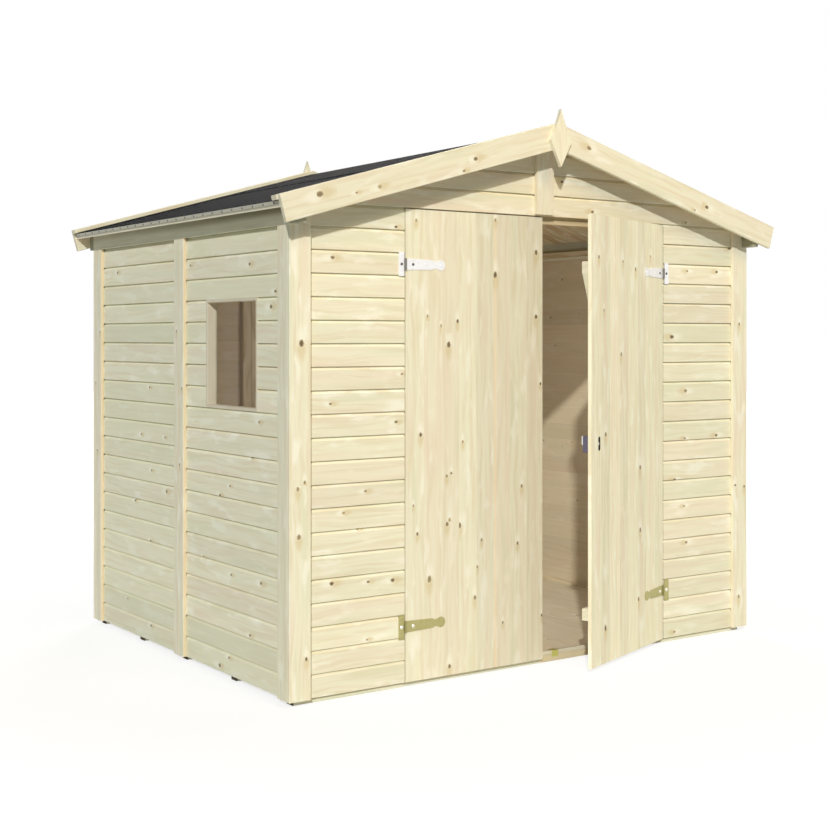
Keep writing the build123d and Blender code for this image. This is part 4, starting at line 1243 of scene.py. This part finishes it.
def heads(places, out, sizes, sides):
    """Round heads on a face: r(t) = radius * sin(t), h(t) = height * cos(t), swept round."""
    places, radius, height = np.array(places), *np.array(sizes).T[:, :, None, None, None]
    side = np.cross(out, X if abs(out @ Z) > 0.9 else Z)
    side /= np.linalg.norm(side)
    tilt = np.linspace(0, math.pi / 2, HEAD_RINGS + 1)[1:, None, None]
    spin = np.linspace(0, 2 * math.pi, sides, endpoint=False)[:, None]
    around = np.cos(spin) * side + np.sin(spin) * np.cross(out, side)
    rings = radius * np.sin(tilt) * around + height * np.cos(tilt) * out
    tops = height[:, 0, 0] * out
    points = places[:, None] + np.concatenate([tops[:, None], rings.reshape(len(places), -1, 3)], axis=1)
    ring = 1 + np.arange(sides)
    after = 1 + np.arange(1, sides + 1) % sides
    rows = np.arange(HEAD_RINGS - 1)[:, None] * sides
    caps = np.column_stack([np.zeros_like(ring), ring, after])
    bands = np.stack([rows + ring, rows + sides + ring, rows + sides + after, rows + after], axis=-1)
    back = (ring + (HEAD_RINGS - 1) * sides)[::-1]
    starts = np.arange(len(places)) * points.shape[1]
    faces = [(face + start).tolist() for start in starts for face in (*caps, *bands.reshape(-1, 4), back)]
    return points.reshape(-1, 3), faces


def heads_piece(name, points, faces, body, material, turned=None):
    """Makes a piece of round heads; a mirrored one has its faces turned out again."""
    mesh = bpy.data.meshes.new(name)
    mesh.from_pydata(turned(points) if turned else points, [], faces)
    mesh.materials.append(material)
    if turned is mirrored:
        mesh.flip_normals()
    mesh.shade_smooth()
    return place_piece(name, mesh, body)


zinc_plate = zinc("zinc_plate", ZINC_YELLOW)
zinc_bolts = bolt_metal()
for node in ("left_hinge_plates", "left_hinge_straps", "right_hinge_plates", "right_hinge_straps"):
    finish_node(node, zinc_plate)
finish_node("threshold_keep", zinc("zinc_keep", ZINC_KEEP))
metal_face = door_face - HINGE_METAL
strap_fixings = [((pin[0] - along, metal_face, z), kind) for z in hinge_levels
                 for along, kind in STRAP_FIXINGS]
plate_fixings = [((pin[0] + PLATE_MIDDLE, metal_face, z + up), kind) for z in hinge_levels
                 for up, kind in PLATE_FIXINGS]
head_sizes = {"bolts": (BOLT, SMALL_BOLT), "screws": (SCREW, SCREW)}
for part, fixings, bodies in (("strap", strap_fixings, ("left_door", "right_door")),
                              ("plate", plate_fixings, ("shed", "shed"))):
    for kind, metal in (("bolts", zinc_bolts), ("screws", zinc_plate)):
        chosen = [place for place, its_kind in fixings if its_kind == kind]
        sizes = [head_sizes[kind][place[2] > sum(hinge_levels) / 2] for place in chosen]
        points, faces = heads(chosen, -Y, sizes, BOLT_SIDES)
        heads_piece(f"left_{part}_{kind}", points, faces, bodies[0], metal, mirrored)
        heads_piece(f"right_{part}_{kind}", points, faces, bodies[1], metal,
                    as_ajar if part == "strap" else None)

# The rim lock's steel case is enamelled blue grey, its latch end is bright, and its nose is a
# dull metal cylinder that shows in the leaf's slot.
LOCK_CASE = 0.024
LOCK_GREY = (0.105, 0.095, 0.15)
LOCK_GREY_WORN = (0.147, 0.133, 0.21)
LOCK_LATCH = (0.80, 0.80, 0.82)
LOCK_NOSE = (0.62, 0.60, 0.56)
LATCH_EDGE = 0.0005
NOSE_EDGE = (0.0002, -0.0002)
NOSE_METALLIC = 0.9
CASE_METALLIC = 0.1


def lock_finish():
    """Finish by the distance behind the leaf's back: nose before it, case, then the latch."""
    material, start = new_material("lock_enamel")
    foot, ahead = as_ajar(np.array([leaf_back * Y, (leaf_back + 1) * Y]))
    normal = ahead - foot
    depth = start.place().vector_math("DOT_PRODUCT", {1: tuple(normal)}, output=1) - float(foot @ normal)
    cloud = start.place().cloud(90.0)
    nose = depth.ramp(*NOSE_EDGE)
    colour = (cloud.ramp(0.3, 0.8) * 0.4).mix(LOCK_GREY, LOCK_GREY_WORN)
    colour = colour.tinted(LOCK_LATCH, depth.ramp(LOCK_CASE, LOCK_CASE + LATCH_EDGE))
    metallic = nose * (NOSE_METALLIC - CASE_METALLIC) + CASE_METALLIC
    finish_surface(start, colour.tinted(LOCK_NOSE, nose), cloud, rough=(0.25, 0.45), metallic=metallic)
    return material


finish_node("right_door_lock", lock_finish())

# Flat headed nails hold the lip and the lap of the felt. They are the only nails that show:
# the boards' own ones are sunk and closed up.
FELT_NAIL = (0.0045, 0.0009)
FELT_NAIL_SIDES = 8
FELT_NAIL_PITCH = 0.083
FELT_NAIL_ENDS = (0.05, 0.03)  # clear of the front and back
LAP_NAIL_RISE = 0.02  # above the lap
NAIL_DARK = (0.03, 0.028, 0.026)
NAIL_LIGHT = (0.10, 0.095, 0.09)


def nail_metal():
    """Galvanised steel, dulled dark by the weather."""
    material, start = new_material("galvanised_nails")
    cloud = start.place().cloud(200.0)
    colour = cloud.ramp(0.3, 0.8).mix(NAIL_DARK, NAIL_LIGHT)
    finish_surface(start, colour, cloud, rough=(0.45, 0.65), metallic=0.7)
    return material


nail_points, nail_faces = np.empty((0, 3)), []
nail_rows = np.arange(roof_low.y + FELT_NAIL_ENDS[0], roof_high.y - FELT_NAIL_ENDS[1], FELT_NAIL_PITCH)
for sign in (-1, 1):
    down, off = down_slope[sign], off_slope[sign]
    lip_place = ridge_line + felt_edge * down + (ROOF_BOARD - FELT_LIP / 2) * off
    lap_place = ridge_line + (lap_edge - LAP_NAIL_RISE) * down + felt_top * off
    for place, out in ((lip_place, down), (lap_place, off)):
        places = place + nail_rows[:, None] * Y
        points, faces = heads(places, out, [FELT_NAIL] * len(places), FELT_NAIL_SIDES)
        nail_faces += [[len(nail_points) + corner for corner in face] for face in faces]
        nail_points = np.vstack([nail_points, points])
heads_piece("felt_nails", nail_points, nail_faces, "shed", nail_metal())
